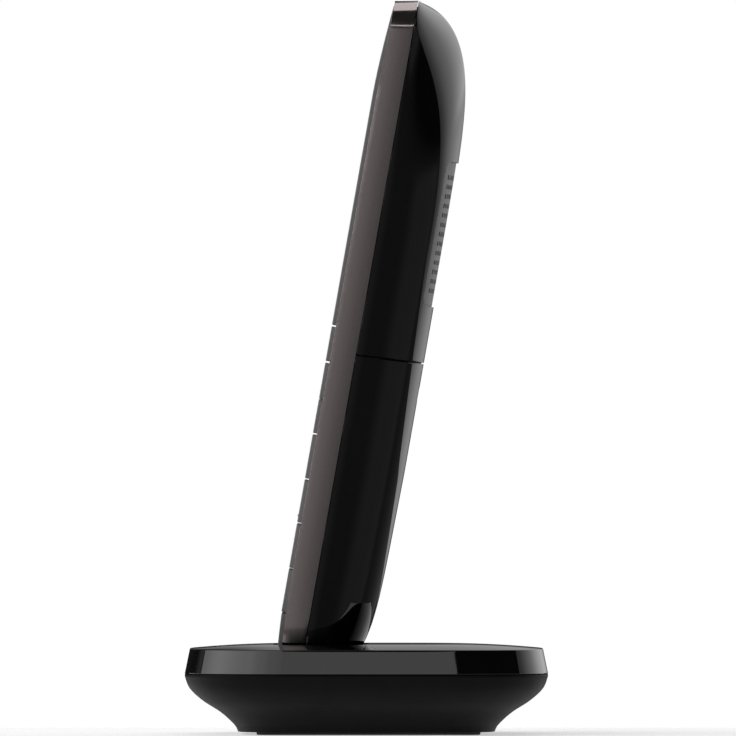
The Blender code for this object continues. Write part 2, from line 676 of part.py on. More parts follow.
def make_base_fittings(empty, board, rubber, metal, steel, matt, clear, gloss):
    for side, name in ((-1, "left"), (1, "right")):
        plate("foot_strip_" + name, outline((side * FOOT_X, 0.5), (4.0, FOOT_HALF_LENGTH), 3.9, 4), 0.0, 1.6,
              rubber, place=level)
        middle = (side * BOSSES[-1][0], BOSSES[-1][1])
        stepped("base_screw_" + name, [(circle(middle, 2.2, 12), 0.85), (circle(middle, 2.4, 12), 1.7),
                                       (circle(middle, 1.0, 12), 1.7), (circle(middle, 1.0, 12), 10.0)],
                steel, place=level)
        pin = (side * PAD_X, PAD_DEPTH)
        steps = [(circle(pin, 0.8, 12), -7.0), (circle(pin, 0.8, 12), -3.2), (circle(pin, 2.1, 12), -3.2),
                 (circle(pin, 2.1, 12), -2.4), (circle(pin, 1.1, 12), -2.4), (circle(pin, 1.1, 12), -0.6),
                 (circle(pin, 0.6, 12), -0.25)]
        stepped("charge_pin_" + name, steps, metal, empty, across, (side * PAD_X, PAD_DEPTH, 0.0))
    block = plate("contact_block", outline((0, PAD_DEPTH), (15.0, 2.6), 0.8), -7.4, -4.7, matt, empty, across)
    sleeves = [[across(circle((side * PAD_X, PAD_DEPTH), 1.2, 12), u) for u in (-9.0, -3.0)] for side in (-1, 1)]
    cut(block, many("sleeve_holes", sleeves, empty))

    plate("base_pcb", outline((0, 20.5), (26.0, 14.0), 2.0), 11.6, 13.0, board, place=level)
    plate("button_board", outline((0, -32.8), (12.0, 4.4), 1.0), 10.4, 11.6, board, place=level)
    case = outline((0, BUTTON_Y), (3.0, 3.0), 0.4)
    plunger = outline((0, BUTTON_Y), (1.6, 1.6), 0.7)
    stepped("page_switch", [(case, 11.9), (case, 13.3), (plunger, 13.3), (plunger, 13.8)], matt, place=level)
    foot = outline((0, BUTTON_Y), (2.4, 2.0), 0.6, 4)
    cap = outline((0, BUTTON_Y), (8.0, 3.0), 2.4, 4)
    button = stepped("page_button", [(foot, 14.7), (foot, 17.2), (cap, 17.2), (cap, 25.0)], gloss, place=level,
                     origin=(0, BUTTON_Y, CROWN_EDGE))
    skin = cutter("button_skin", crown_rings(0.0, 0.0, 10.0))
    combine(button, skin, "INTERSECT")
    pipe = plate("light_pipe", outline((0, LIGHT_Y), (3.0, 0.6), 0.5), 12.2, 25.0, clear, place=level)
    combine(pipe, skin, "INTERSECT")

    line = plate("line_socket", outline((LINE_X, 18.0), (6.7, 7.7), 0.4), 1.0, 11.2, matt, place=level)
    cut(line, plate("line_mouth", outline((LINE_X, 17.0), (5.0, 5.6), 0.3), -1.0, 9.0, place=level))
    jack = plate("power_jack", outline((JACK_X, 16.0), (5.0, 6.0), 0.4), 1.0, 11.2, matt, place=level)
    cut(jack, plate("jack_mouth", circle((JACK_X, 15.5), 2.9, 20), -1.0, 8.5, place=level))


# ---------------------------------------------------------------- assembly

def main():
    clear_scene()
    gloss_black = material("gloss_black", (0.008, 0.008, 0.009), 0.08)
    gunmetal = material("gunmetal", (0.075, 0.065, 0.065), 0.35, 0.3)
    key_finish = material("key_gunmetal", (0.09, 0.082, 0.083), 0.35, 0.3)
    nav_finish = material("nav_satin", (0.35, 0.34, 0.35), 0.3, 0.7)
    matt_black = material("matt_black", (0.012, 0.012, 0.013), 0.55)
    satin_grey = material("satin_grey", (0.26, 0.26, 0.27), 0.4, 0.4)
    glass = material("display_glass", (0.01, 0.012, 0.015), 0.05)
    lcd = material("lcd_panel", (0.25, 0.35, 0.3), 0.3)
    board = material("board_green", (0.02, 0.12, 0.05), 0.5)
    rubber = material("rubber_dark", (0.03, 0.03, 0.03), 0.8)
    gold = material("contact_gold", (0.75, 0.55, 0.25), 0.3, 1.0)
    steel = material("screw_steel", (0.5, 0.5, 0.5), 0.35, 1.0)
    wrap = material("battery_wrap", (0.05, 0.2, 0.12), 0.35)
    clear = material("light_pipe_clear", (0.5, 0.6, 0.6), 0.2)

    handset = bpy.data.objects.new("handset_frame", None)
    bpy.context.scene.collection.objects.link(handset)
    handset.location = (0.0, HANDSET_Y * MM, HANDSET_Z * MM)
    handset.rotation_euler = (-radians(LEAN), 0.0, 0.0)

    make_front_frame(handset, gunmetal)
    make_fascias(handset, gunmetal)
    make_keys(handset, key_finish, nav_finish)
    make_display(handset, glass, lcd)
    make_electronics(handset, board, steel, rubber, matt_black)
    make_batteries(handset, wrap, steel)
    make_contacts_and_screws(handset, gold, steel)
    make_rear_housing(handset, gloss_black)
    make_speaker_grille(handset, satin_grey)
    make_battery_cover(handset, gloss_black)
    make_top_plate(handset, gloss_black)
    make_lower_housing(matt_black)
    make_base_fittings(handset, board, rubber, gold, steel, matt_black, clear, gloss_black)


main()
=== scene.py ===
"""Looks of the cordless phone and its charging base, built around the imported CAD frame.

Sizes are in millimetres in the two frames that the CAD uses: the base's, with +Z up, and the handset's,
whose x is sideways, y is depth from the front face and z is length from the bottom end.
"""
from functools import reduce
from math import copysign, cos, pi, radians, sin, sqrt

import bmesh
import bpy
from mathutils import Matrix, Vector


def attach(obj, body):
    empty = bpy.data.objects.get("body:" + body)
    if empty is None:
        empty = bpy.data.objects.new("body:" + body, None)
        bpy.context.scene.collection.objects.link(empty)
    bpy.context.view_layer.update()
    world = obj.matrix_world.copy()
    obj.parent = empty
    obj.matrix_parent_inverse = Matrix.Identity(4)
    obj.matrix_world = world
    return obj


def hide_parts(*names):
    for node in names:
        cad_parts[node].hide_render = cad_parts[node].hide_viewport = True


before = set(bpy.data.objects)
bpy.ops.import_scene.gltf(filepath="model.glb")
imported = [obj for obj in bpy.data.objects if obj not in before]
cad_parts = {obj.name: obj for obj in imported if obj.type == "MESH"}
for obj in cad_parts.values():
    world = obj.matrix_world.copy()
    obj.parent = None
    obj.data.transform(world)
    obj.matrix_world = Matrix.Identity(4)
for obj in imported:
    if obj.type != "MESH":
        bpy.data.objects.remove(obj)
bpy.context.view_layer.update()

MM = 0.001

SHARP_ANGLE = radians(30)  # edges sharper than this stay crisp in the shading

# ---- handset ----
LEAN = 10.0
HANDSET_AT = (0.0, -23.3, 12.8)
HALF_WIDTH = 24.0
CORNER = 7.0
LENGTH = 166.69
THICKNESS = 23.3
FRONT_FLAT = (20.0, 142.0)  # stretch over which the front face is flat
TOP_FALL = (1.42, 23.5, 1.7)  # how it falls back above that: (depth, reach, power)
FOOT_FALL = (1.25, 20.0, 1.4)
BACK_FLAT = (55.0, 95.0)  # stretch over which the back is flat
BACK_FALL = (10.0, 55.0, 6.5)
BACK_LEAN = 0.017
CREST_DEPTH = 4.0  # where the back ends at the top end
CREST_LENGTH = 71.86
CREST_POWERS = (5.6, 2.3)
PARTING = 6.95  # depth of the line between the frame and the rear shells
PARTING_GAP = 0.16
FRAME_BACK = PARTING - PARTING_GAP / 2
REAR_FRONT = PARTING + PARTING_GAP / 2
TOP_SLANT = 0.19  # slope of the frame's top face
LIFT_START = 150.0  # length from which the frame takes on that slope
SECTION_POWER = 3.4
DOME = (112.0, 164.0)  # stretch over which the rear turns into a dome
DOME_POWER = 1.25
REAR_STEPS = 72  # points across a rear shell
CORE_FRONT = 5.0  # depth at which the rear's inner volumes start
TONGUE_DEPTHS = (6.35, 7.6)
TOP_BLEND = 26.0  # stretch below the top end where the stations lie closer together
TAPER = 3.2
TAPER_LENGTH = 22.0
WALL = 1.6
SEAM = 80.6  # line between the rear housing and the battery cover
SEAM_GAP = 0.3
SEAM_EDGE = 0.12
SEAM_SLOPE = 0.045
SEAM_BLEND = 12.0  # how far from the seam the rings still follow its slope
LIP_INSET = 0.55  # depth of the lip that shows in the cover's seam
LIP_REACH = 1.3
TAIL_TOP = 7.6
TAIL_SLOPE = -0.1
TAIL_EDGE = 0.3
TRAY_MIDDLE = 46.0
TRAY_SIZE = (HALF_WIDTH - WALL - 1.8, 37.5)
NOTCH_PROFILE = ((1.6, 22.85), (0.9, 23.0), (0.0, 23.4))
GRILLE = (95.05, 130.05)
GRILLE_EDGE = 20.45  # depth at which the grille's long edges lie
GRILLE_CORNER = 2.5
GRILLE_SINK = 0.5
GRILLE_THICK = 1.0
POCKET_DEPTH = 1.9
POCKET_WALL = 3.3
POCKET_MARGIN = 3.0
SOUND_RADIUS = 11.0
HOLE_ROWS = 13
HOLE_COLUMNS = 22
HOLE_PITCH = (1.43, 2.29)
HOLE_SIZE = (0.8, 1.1)
HOLE_CORNER = 0.18
RIM = 1.0  # how far the frame's front edge lies behind the face
EDGE = 0.05  # easing of the edges at the parting line
FRONT_EDGE = 0.012  # easing of the frame's front edge
SIDE_CROWN = 0.35  # how much the frame's side leans in towards the front
FIELD_HALF = 22.9  # the field of fascias and keys inside the frame
FIELD_ENDS = (1.2, 164.4)
FIELD_CORNER = 5.9
FASCIA_EDGE = 0.22
DECK = 2.6  # depth of the frame's deck behind the field
GROOVE = 0.4
ROW_EDGES = (16.8, 27.5, 38.5, 49.2, 60.2, 68.7, 77.7, 86.5)
NAV_HALF = 8.6
OK_HALF = 3.6
NAV_CORNER = 2.4
NAV_AT = (0.0, (ROW_EDGES[4] + ROW_EDGES[6]) / 2)
DISPLAY_AT = (0.0, 116.0)
DISPLAY_SIZE = (18.0, 19.0)  # sizes of this kind are half widths and half lengths
EARPIECE = 153.0
KEY_CORNER = 0.35
KEY_EDGE = 0.2
KEY_DISH = 0.12  # how far a key's face sinks in its middle
KEY_BACK = 1.9
STEM_HALF = 2.0
STEM_END = 3.4
NIB_PROFILE = ((0.2, -0.2), (0.08, -0.17), (0.0, -0.05), (0.0, 0.4))
DIGIT_SIZE = 6.2
CLOCK_SIZE = 11.0
PRINT = 0.035  # thickness of printed signs
LCD_PRINT = 1.78  # depth of the signs on the display's panel
PAD_X = 11.0
PAD_DEPTH = 9.6
PAD_SIZE = (2.2, 1.4)
DIGIT_KEYS = (("key_star", "key_0", "key_hash"), ("key_7", "key_8", "key_9"),
              ("key_4", "key_5", "key_6"), ("key_1", "key_2", "key_3"))
SIDE_KEYS = (("key_talk", "key_end"), ("key_speaker", "key_menu"), ("soft_key_left", "soft_key_right"))

# ---- base ----
BASE_X = 49.0
BASE_Y = 43.55
PLAN_POWER = 4.0
BASE_JOINT = 14.64  # height of the joint between the two base shells
JOINT_GAP = 0.08  # distance of either shell from it
JOINT_EDGE = 0.12
CROWN_EDGE = 20.5
CROWN_TOP = 21.65
CROWN_WIDTH = 23.0
LIP_CORNER = 0.14  # rounding between the band and the crown
BAND_INSET = 1.2
FLOOR_TOP = 3.0
BASE_WALL = 2.0
WELL_WALL = 1.5
WELL_GAP = (0.6, 0.5, 1.1)  # round the handset: at the sides, in front and behind
WELL_CORNER = 1.0
WELL_STEPS = 64
WELL_BACK = 20.9
WELL_BOTTOM = -0.4
BUTTON_Y = -34.5
BUTTON_SIZE = (8.0, 3.0)
LIGHT_Y = -28.6
LIGHT_SIZE = (3.0, 0.6)
LOWER_PROFILE = ((12.75, 0.72), (11.8, 2.4), (8.65, 5.28), (4.25, 8.16), (1.19, 11.04), (0.0, 13.9))
LOWER_HOLLOW = ((13.2, FLOOR_TOP), (11.2, 5.28), (6.8, 8.16), (3.2, 11.04), (2.0, 13.9), (2.0, 17.0))
BOSS_X = 30.5
BOSS_Y = (-15.0, 17.0)
FOOT_X = 20.0
FOOT_Y = 0.5
FOOT_SIZE = (4.0, 26.8)
SOCKETS = ((-8.5, 18.0, 7.0, 8.0), (9.0, 16.0, 5.3, 6.3))

# ---- studio, in metres ----
FLOOR_HALF = 0.12
FLOOR_DROP = 0.02  # millimetres
SENSOR = 36.0  # millimetres
VIEW_WIDTH = 0.17664
CAMERA_AT = (7.0, 0.00038, 0.0878)
ROOM_PATCHES = (  # each range: (axis, start, end, factor at the start, factor at the end)
    (("Z", 0.12, 0.3, 0.1, 0.02), ("Y", 0.1, 0.35, 1.0, 0.0), ("X", -0.7, -0.85, 1.0, 0.12)),
    (("Z", -0.02, 0.06, 0.1, 0.02), ("Y", 0.1, 0.35, 0.0, 1.0)),
    (("X", -0.6, -0.9, 0.0, 0.31), ("Y", -0.016, -0.002, 0.0, 1.0), ("Z", 0.0, 0.04, 0.0, 1.0)),
    (("X", -0.6, -0.9, 0.0, 0.04), ("Y", 0.004, 0.015, 0.0, 1.0), ("Z", 0.0, 0.04, 0.0, 1.0)),
    (("Y", 0.2, 0.6, 0.0, 0.12), ("Z", -0.04, 0.0, 1.0, 0.0), ("X", -0.2, 0.1, 0.0, 1.0)),
    (("Y", 0.0, -0.25, 0.0, 0.1), ("Z", 0.12, 0.3, 1.0, 0.0), ("X", -0.6, -0.8, 1.0, 0.0)))

HANDSET = Matrix.Translation([c * MM for c in HANDSET_AT]) @ Matrix.Rotation(-radians(LEAN), 4, "X")
BASE = Matrix.Identity(4)


# ---- mesh tools ----

def new_object(name, data):
    made = bpy.data.objects.new(name, data)
    bpy.context.scene.collection.objects.link(made)
    return made


def final_mesh(source):
    """The object's mesh with its modifiers applied, or made from its text."""
    bpy.context.view_layer.update()
    graph = bpy.context.evaluated_depsgraph_get()
    return bpy.data.meshes.new_from_object(source.evaluated_get(graph))


def shade(mesh):
    mesh.shade_smooth()
    mesh.set_sharp_from_angle(angle=SHARP_ANGLE)


def finish_mesh(shape, name, place=BASE):
    mesh = bpy.data.meshes.new(name)
    shape.transform(place)
    bmesh.ops.recalc_face_normals(shape, faces=shape.faces)
    shape.to_mesh(mesh)
    shape.free()
    shade(mesh)
    return new_object(name, mesh)


def rings_into(shape, rings, tube):
    """Adds one closed solid through rings of equally many points."""
    rows = [[shape.verts.new([c * MM for c in p]) for p in ring] for ring in rings]
    pairs = list(zip(rows, rows[1:]))
    if tube:
        pairs.append((rows[-1], rows[0]))
    else:
        shape.faces.new(rows[0])
        shape.faces.new(rows[-1])
    count = len(rows[0])
    for low, high in pairs:
        for i in range(count):
            j = (i + 1) % count
            shape.faces.new((low[i], low[j], high[j], high[i]))


def solids(name, groups, place, tube=False):
    """Several separate solids in one object, each given as a list of rings."""
    shape = bmesh.new()
    for rings in groups:
        rings_into(shape, rings, tube)
    return finish_mesh(shape, name, place)


def solid(name, rings, place=HANDSET, tube=False):
    return solids(name, [rings], place, tube)


def prisms(name, loops, depths):
    """Straight solids through the handset between two depths, one for each loop of (x, length) points."""
    return solids(name, [[deep(loop, d) for d in depths] for loop in loops], HANDSET)


def posts(name, loops, ends, place=BASE):
    """Straight solids along z between two heights, one for each loop of (x, y) points."""
    return solids(name, [[level(loop, z) for z in ends] for loop in loops], place)


def carve(target, others, operation="DIFFERENCE"):
    """Applies Booleans to the target's mesh and removes the cutters."""
    for other in others:
        step = target.modifiers.new("carve", "BOOLEAN")
        step.object = other
        step.operation = operation
        step.solver = "EXACT"
    mesh = final_mesh(target)
    target.modifiers.clear()
    target.data = mesh
    shade(mesh)
    for other in others:
        bpy.data.objects.remove(other, do_unlink=True)


def dress(made, body, finish, slot, *nodes):
    """Gives a piece its material and the body it rides on, and hides the CAD nodes it replaces; the slot is
    not used.
    """
    made.data.materials.clear()
    made.data.materials.append(finish)
    for face in made.data.polygons:
        face.material_index = 0
    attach(made, body)
    if nodes:
        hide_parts(*nodes)


def grown(half, distance):
    return half[0] + distance, half[1] + distance


def outline(centre, half, radius, steps=6):
    """Rounded rectangle as (a, b) pairs."""
    pairs = []
    for quarter in range(4):
        side_a = 1 if quarter in (0, 3) else -1
        side_b = 1 if quarter < 2 else -1
        for i in range(steps + 1):
            angle = (quarter + i / steps) * pi / 2
            pairs.append((centre[0] + side_a * (half[0] - radius) + radius * cos(angle),
                          centre[1] + side_b * (half[1] - radius) + radius * sin(angle)))
    return pairs


def inset_outline(centre, half, radius, inset, steps=6):
    """Rounded rectangle drawn in evenly by the inset."""
    return outline(centre, grown(half, -inset), radius - inset, steps)


def stepped(centre, half, radius, profile, steps=6):
    """Rings of a rounded rectangle seen from the front, one for each (inset, depth) pair."""
    return [deep(inset_outline(centre, half, radius, e, steps), d) for e, d in profile]


def arc(centre, size, start, end, steps):
    """Part of an ellipse between two angles in degrees."""
    angles = [radians(start + (end - start) * i / steps) for i in range(steps + 1)]
    return [(centre[0] + size[0] * cos(a), centre[1] + size[1] * sin(a)) for a in angles]


def circle(centre, radius, count=32):
    turns = [2 * pi * i / count for i in range(count)]
    return [(centre[0] + radius * cos(a), centre[1] + radius * sin(a)) for a in turns]


def deep(pairs, depth):
    return [(a, depth, b) for a, b in pairs]


def level(pairs, height):
    return [(a, b, height) for a, b in pairs]


def mirrored(side):
    """Loop made of one side and its mirror image."""
    return side + [(-x, b) for x, b in reversed(side)]


def bulge(value, size, power):
    """Coordinate of a superellipse, from the cosine or sine of its angle."""
    return copysign(size * abs(value) ** (2 / power), value)


def spread(low, high, step):
    """Evenly spaced values from low to high, about a step apart."""
    count = max(int(round((high - low) / step)), 1)
    return [low + (high - low) * i / count for i in range(count + 1)]


def arc_lengths(corner, steps=12):
    """Distances from an end at which a rounded corner is cut, closer together towards the end."""
    return [corner * (1 - cos(pi / 2 * i / steps)) for i in range(steps + 1)]


def corner_stations(low, high, corner, middle, steps=12):
    """Lengths from low to high: those of the two rounded ends and the given ones between them."""
    ends = arc_lengths(corner, steps)
    return [low + t for t in ends] + middle + [high - t for t in reversed(ends)]


def fillet(radius, steps=3):
    """(inset, travel) pairs of a rounded edge, from the face inwards to the full side."""
    angles = [pi / 2 * i / steps for i in range(steps + 1)]
    return [(radius * (1 - sin(a)), radius * (1 - cos(a))) for a in angles]


def blend(p, q, r, s, t):
    """Catmull-Rom value between q and r."""
    square, cube = 2 * p - 5 * q + 4 * r - s, 3 * q - p - 3 * r + s
    return 0.5 * (2 * q + (r - p) * t + square * t * t + cube * t ** 3)


def smooth_line(points, per_span):
    """Smooth curve through the points, cut into equally many pieces between each two."""
    ends = [points[0]] + list(points) + [points[-1]]
    line = []
    for near in zip(ends, ends[1:], ends[2:], ends[3:]):
        for i in range(per_span):
            line.append(tuple(blend(*values, i / per_span) for values in zip(*near)))
    return line + [tuple(points[-1])]


# ---- handset surfaces ----

def fall(distance, depth, reach, power):
    return depth * (distance / reach) ** power


def front_depth(u):
    """The front face is flat along the middle and falls back towards both ends."""
    low, high = FRONT_FLAT
    if u > high:
        return fall(u - high, *TOP_FALL)
    if u < low:
        return fall(low - u, *FOOT_FALL)
    return 0.0


def back_depth(u):
    """The back is flat along the middle, comes forward to the top end and leans in towards the foot."""
    low, high = BACK_FLAT
    if u > high:
        power, root = CREST_POWERS
        reach = min((u - high) / CREST_LENGTH, 1.0)
        return CREST_DEPTH + (THICKNESS - CREST_DEPTH) * (1.0 - reach ** power) ** (1 / root)
    if u < low:
        return THICKNESS - BACK_LEAN * (low - u) - fall(low - u, *BACK_FALL)
    return THICKNESS


def rounded_half(u, low, high, half, radius):
    """Half width at u of a strip from low to high with rounded corners."""
    near = max(min(u - low, high - u, radius), 0.0)
    return half - radius + sqrt(max(radius ** 2 - (radius - near) ** 2, 0.0))


def taper(u):
    """How much each side draws in near the bottom end."""
    return TAPER * max(0.0, 1.0 - u / TAPER_LENGTH) ** 2


def half_width(u, inset=0.0):
    return rounded_half(u, inset, LENGTH - inset, HALF_WIDTH - inset, CORNER - inset) - taper(u)


def section_power(u):
    """The rear is squarish along the body and becomes a round dome towards the top end."""
    reach = min(max((u - DOME[0]) / (DOME[1] - DOME[0]), 0.0), 1.0)
    return SECTION_POWER + (DOME_POWER - SECTION_POWER) * reach * reach * (3 - 2 * reach)


def surface_half(u, depth):
    """Half width of the rear surface at u, where it lies at the given depth."""
    power = section_power(u)
    rise = (depth - PARTING) / (back_depth(u) - PARTING)
    return half_width(u) * (1 - rise ** power) ** (1 / power)


def tapered_outline(low, high, half, corner):
    """Rounded strip from low to high, seen from the front, that follows the taper at the bottom end."""
    stations = corner_stations(low, high, corner, spread(8.0, TAPER_LENGTH, 1.4))
    return mirrored([(rounded_half(u, low, high, half, corner) - taper(u), u) for u in stations])


def arch(u, inset, start, steps, shift=0.0):
    """Rounded arch of the rear shell at u, from one side to the other, as (x, depth) pairs."""
    wide = half_width(u, inset)
    at = u + shift if u > BACK_FLAT[1] else max(u - shift, 0.0)
    high = max(back_depth(at) - inset - start, 0.01)
    power = section_power(u)
    points = []
    for i in range(steps + 1):
        angle = pi * i / steps
        points.append((bulge(cos(angle), wide, power), start + high * sin(angle) ** (2 / power)))
    return points


def outer_loop(u, inset):
    """Outer arch of a rear shell at u, with eased rims at the parting line."""
    outer = arch(u, inset, REAR_FRONT + EDGE, REAR_STEPS)
    rim = [(outer[0][0] - e, REAR_FRONT + t) for e, t in fillet(EDGE)[:-1]]
    return rim + outer + [(-x, v) for x, v in reversed(rim)]


def tilted(loop, u, slope):
    """Loop at u whose length grows with its depth, as the seam does."""
    return [(x, v, u + slope * (v - REAR_FRONT)) for x, v in loop]


def rear_ring(u, inset, wall, slope):
    """Closed loop across a rear shell at u: the outer arch and the inner arch."""
    inner = arch(u, inset + wall, REAR_FRONT, REAR_STEPS, wall)
    return tilted(outer_loop(u, inset) + inner[::-1], u, slope)


def full_ring(u, inset):
    """Whole section of the handset's rear half at u, drawn in by the inset."""
    return level(arch(u, inset, CORE_FRONT, REAR_STEPS), u)


# ---- materials ----

def map_range(tree, source, start, end, low, high, kind="LINEAR"):
    """Output that goes from low to high while the source goes from start to end."""
    node = tree.nodes.new("ShaderNodeMapRange")
    node.interpolation_type = kind
    for socket, value in zip(("From Min", "From Max", "To Min", "To Max"), (start, end, low, high)):
        node.inputs[socket].default_value = value
    tree.links.new(source, node.inputs["Value"])
    return node.outputs["Result"]


def calculate(tree, operation, *values):
    """Output of a Math node whose inputs are numbers or other nodes' outputs."""
    node = tree.nodes.new("ShaderNodeMath")
    node.operation = operation
    for socket, value in zip(node.inputs, values):
        if isinstance(value, float):
            socket.default_value = value
        else:
            tree.links.new(value, socket)
    return node.outputs[0]


def combine(tree, operation, outputs):
    """Sum or product of several nodes' outputs."""
    return reduce(lambda first, second: calculate(tree, operation, first, second), outputs)


def grey(value):
    return value, value, value


class Nodes:
    """Small helper that adds nodes to one material."""

    def __init__(self, name):
        self.material = bpy.data.materials.new(name)
        self.material.use_nodes = True
        self.tree = self.material.node_tree
        self.shader = self.tree.nodes["Principled BSDF"]
        self.where = self.tree.nodes.new("ShaderNodeTexCoord").outputs["Object"]

    def link(self, source, target):
        self.tree.links.new(source, target)

    def noise(self, scale, detail=3.0, stretch=None):
        node = self.tree.nodes.new("ShaderNodeTexNoise")
        node.inputs["Scale"].default_value = scale
        node.inputs["Detail"].default_value = detail
        source = self.where
        if stretch:
            mapping = self.tree.nodes.new("ShaderNodeMapping")
            mapping.inputs["Scale"].default_value = stretch
            self.link(source, mapping.inputs["Vector"])
            source = mapping.outputs["Vector"]
        self.link(source, node.inputs["Vector"])
        return node.outputs["Fac"]

    def ranged(self, source, low, high, start=0.3, end=0.7):
        return map_range(self.tree, source, start, end, low, high)

    def mix(self, factor, dark, light):
        node = self.tree.nodes.new("ShaderNodeMix")
        node.data_type = "RGBA"
        self.link(factor, node.inputs["Factor"])
        node.inputs["A"].default_value = (*dark, 1.0)
        node.inputs["B"].default_value = (*light, 1.0)
        return node.outputs["Result"]

    def bump(self, source, distance):
        node = self.tree.nodes.new("ShaderNodeBump")
        node.inputs["Distance"].default_value = distance
        self.link(source, node.inputs["Height"])
        return node.outputs["Normal"]


def plastic(name, dark, light, rough, grain, relief, metallic=0.0, specular=0.5, mottle=180.0):
    """Moulded or painted plastic: two close colours mixed by noise, uneven roughness and a fine grain."""
    n = Nodes(name)
    n.link(n.mix(n.ranged(n.noise(mottle, 4.0), 0.0, 1.0), dark, light), n.shader.inputs["Base Color"])
    n.link(n.ranged(n.noise(mottle * 0.35, 5.0), *rough), n.shader.inputs["Roughness"])
    n.link(n.bump(n.noise(grain, 2.0), relief), n.shader.inputs["Normal"])
    n.shader.inputs["Metallic"].default_value = metallic
    n.shader.inputs["Specular IOR Level"].default_value = specular
    return n.material


def metal(name, dark, light, rough, stretch):
    """Bare metal, with fine lines where the noise is stretched."""
    n = Nodes(name)
    mixed = n.mix(n.ranged(n.noise(900.0, 4.0, stretch), 0.0, 1.0), dark, light)
    n.link(mixed, n.shader.inputs["Base Color"])
    n.link(n.ranged(n.noise(700.0, 3.0, stretch), *rough), n.shader.inputs["Roughness"])
    n.link(n.bump(n.noise(1500.0, 2.0, stretch), 1e-5), n.shader.inputs["Normal"])
    n.shader.inputs["Metallic"].default_value = 1.0
    return n.material


def window_material(name):
    """Clear display window with a black printed border."""
    n = Nodes(name)
    split = n.tree.nodes.new("ShaderNodeSeparateXYZ")
    n.link(n.where, split.inputs["Vector"])
    masks = []
    for axis, centre, half in zip("XZ", DISPLAY_AT, (DISPLAY_SIZE[0] - 2.2, DISPLAY_SIZE[1] - 2.4)):
        offset = calculate(n.tree, "SUBTRACT", split.outputs[axis], centre * MM)
        distance = calculate(n.tree, "ABSOLUTE", offset)
        masks.append(calculate(n.tree, "GREATER_THAN", distance, half * MM))
    border = calculate(n.tree, "MAXIMUM", *masks)
    n.link(n.ranged(border, 0.1, 1.0, 0.0, 1.0), n.shader.inputs["Alpha"])
    n.link(n.mix(n.noise(300.0), (0.004, 0.004, 0.005), (0.006, 0.006, 0.007)), n.shader.inputs["Base Color"])
    n.link(n.ranged(n.noise(120.0, 4.0), 0.03, 0.06), n.shader.inputs["Roughness"])
    return n.material


def make_materials():
    m = {}
    m["gloss"] = plastic("gloss_black_plastic", (0.0016, 0.0016, 0.002), (0.0022, 0.0022, 0.0027),
                         (0.015, 0.03), 160.0, 1.5e-6)
    m["gunmetal"] = plastic("gunmetal_paint", (0.53, 0.46, 0.455), (0.59, 0.51, 0.505),
                            (0.1, 0.15), 5200.0, 1e-6, metallic=1.0, mottle=2600.0)
    m["keys"] = plastic("key_paint", (0.2, 0.195, 0.195), (0.23, 0.225, 0.225),
                        (0.42, 0.5), 5200.0, 6e-6, metallic=0.25, mottle=2600.0)
    m["nav"] = plastic("nav_satin_paint", (0.3, 0.29, 0.3), (0.36, 0.35, 0.36),
                       (0.24, 0.32), 4200.0, 4e-6, metallic=0.7, mottle=2200.0)
    m["matt"] = plastic("matt_black_plastic", (0.004, 0.004, 0.0045), (0.0052, 0.0052, 0.0057),
                        (0.5, 0.58), 2600.0, 1e-5, specular=0.07)
    m["cloth"] = plastic("speaker_cloth", grey(0.002), grey(0.004), (0.8, 0.95), 2400.0, 3e-5, specular=0.1)
    m["grille"] = plastic("satin_grey_plastic", (0.19, 0.19, 0.195), (0.22, 0.22, 0.225),
                          (0.38, 0.46), 3800.0, 8e-6, metallic=0.2)
    m["rubber"] = plastic("rubber", grey(0.018), grey(0.026), (0.75, 0.9), 1500.0, 5e-5)
    m["board"] = plastic("board_green", (0.012, 0.075, 0.03), (0.018, 0.1, 0.042), (0.35, 0.5), 900.0, 1e-5)
    m["gold"] = metal("plated_contact", (0.7, 0.5, 0.22), (0.82, 0.62, 0.32), (0.16, 0.28), (1.0, 1.0, 1.0))
    m["steel"] = metal("screw_steel", (0.42, 0.42, 0.43), (0.58, 0.58, 0.59), (0.25, 0.4), (1.0, 1.0, 0.2))
    m["lcd"] = plastic("lcd_panel", (0.34, 0.4, 0.36), (0.37, 0.43, 0.39), (0.22, 0.3), 4000.0, 2e-6)
    m["ink"] = plastic("white_print", grey(0.62), grey(0.7), (0.4, 0.5), 3000.0, 2e-6)
    m["lcd_ink"] = plastic("lcd_digits", (0.012, 0.016, 0.015), (0.018, 0.022, 0.021),
                           (0.35, 0.45), 3000.0, 1e-6)
    m["green"] = plastic("green_print", (0.05, 0.42, 0.1), (0.07, 0.5, 0.13), (0.35, 0.45), 3000.0, 2e-6)
    m["red"] = plastic("red_print", (0.5, 0.03, 0.025), (0.6, 0.045, 0.035), (0.35, 0.45), 3000.0, 2e-6)
    m["wrap"] = plastic("battery_wrap", (0.02, 0.12, 0.07), (0.03, 0.16, 0.09), (0.25, 0.35), 900.0, 1e-5)
    m["light"] = plastic("light_pipe", (0.45, 0.55, 0.52), (0.55, 0.63, 0.6), (0.12, 0.2), 1500.0, 4e-6)
    m["window"] = window_material("display_window")
    return m


# ---- handset pieces ----

def seam_stations(low, high, step):
    """(length, inset) pairs with rounded ends, each backed by a close ring that keeps the shading flat."""
    ease = SEAM_EDGE
    start = [(low + t, e) for e, t in fillet(ease)] + [(low + 2 * ease, 0.0)]
    end = [(high - 2 * ease, 0.0)] + [(high - t, e) for e, t in reversed(fillet(ease))]
    return start + [(u, 0.0) for u in spread(low + ease, high - ease, step)[1:-1]] + end


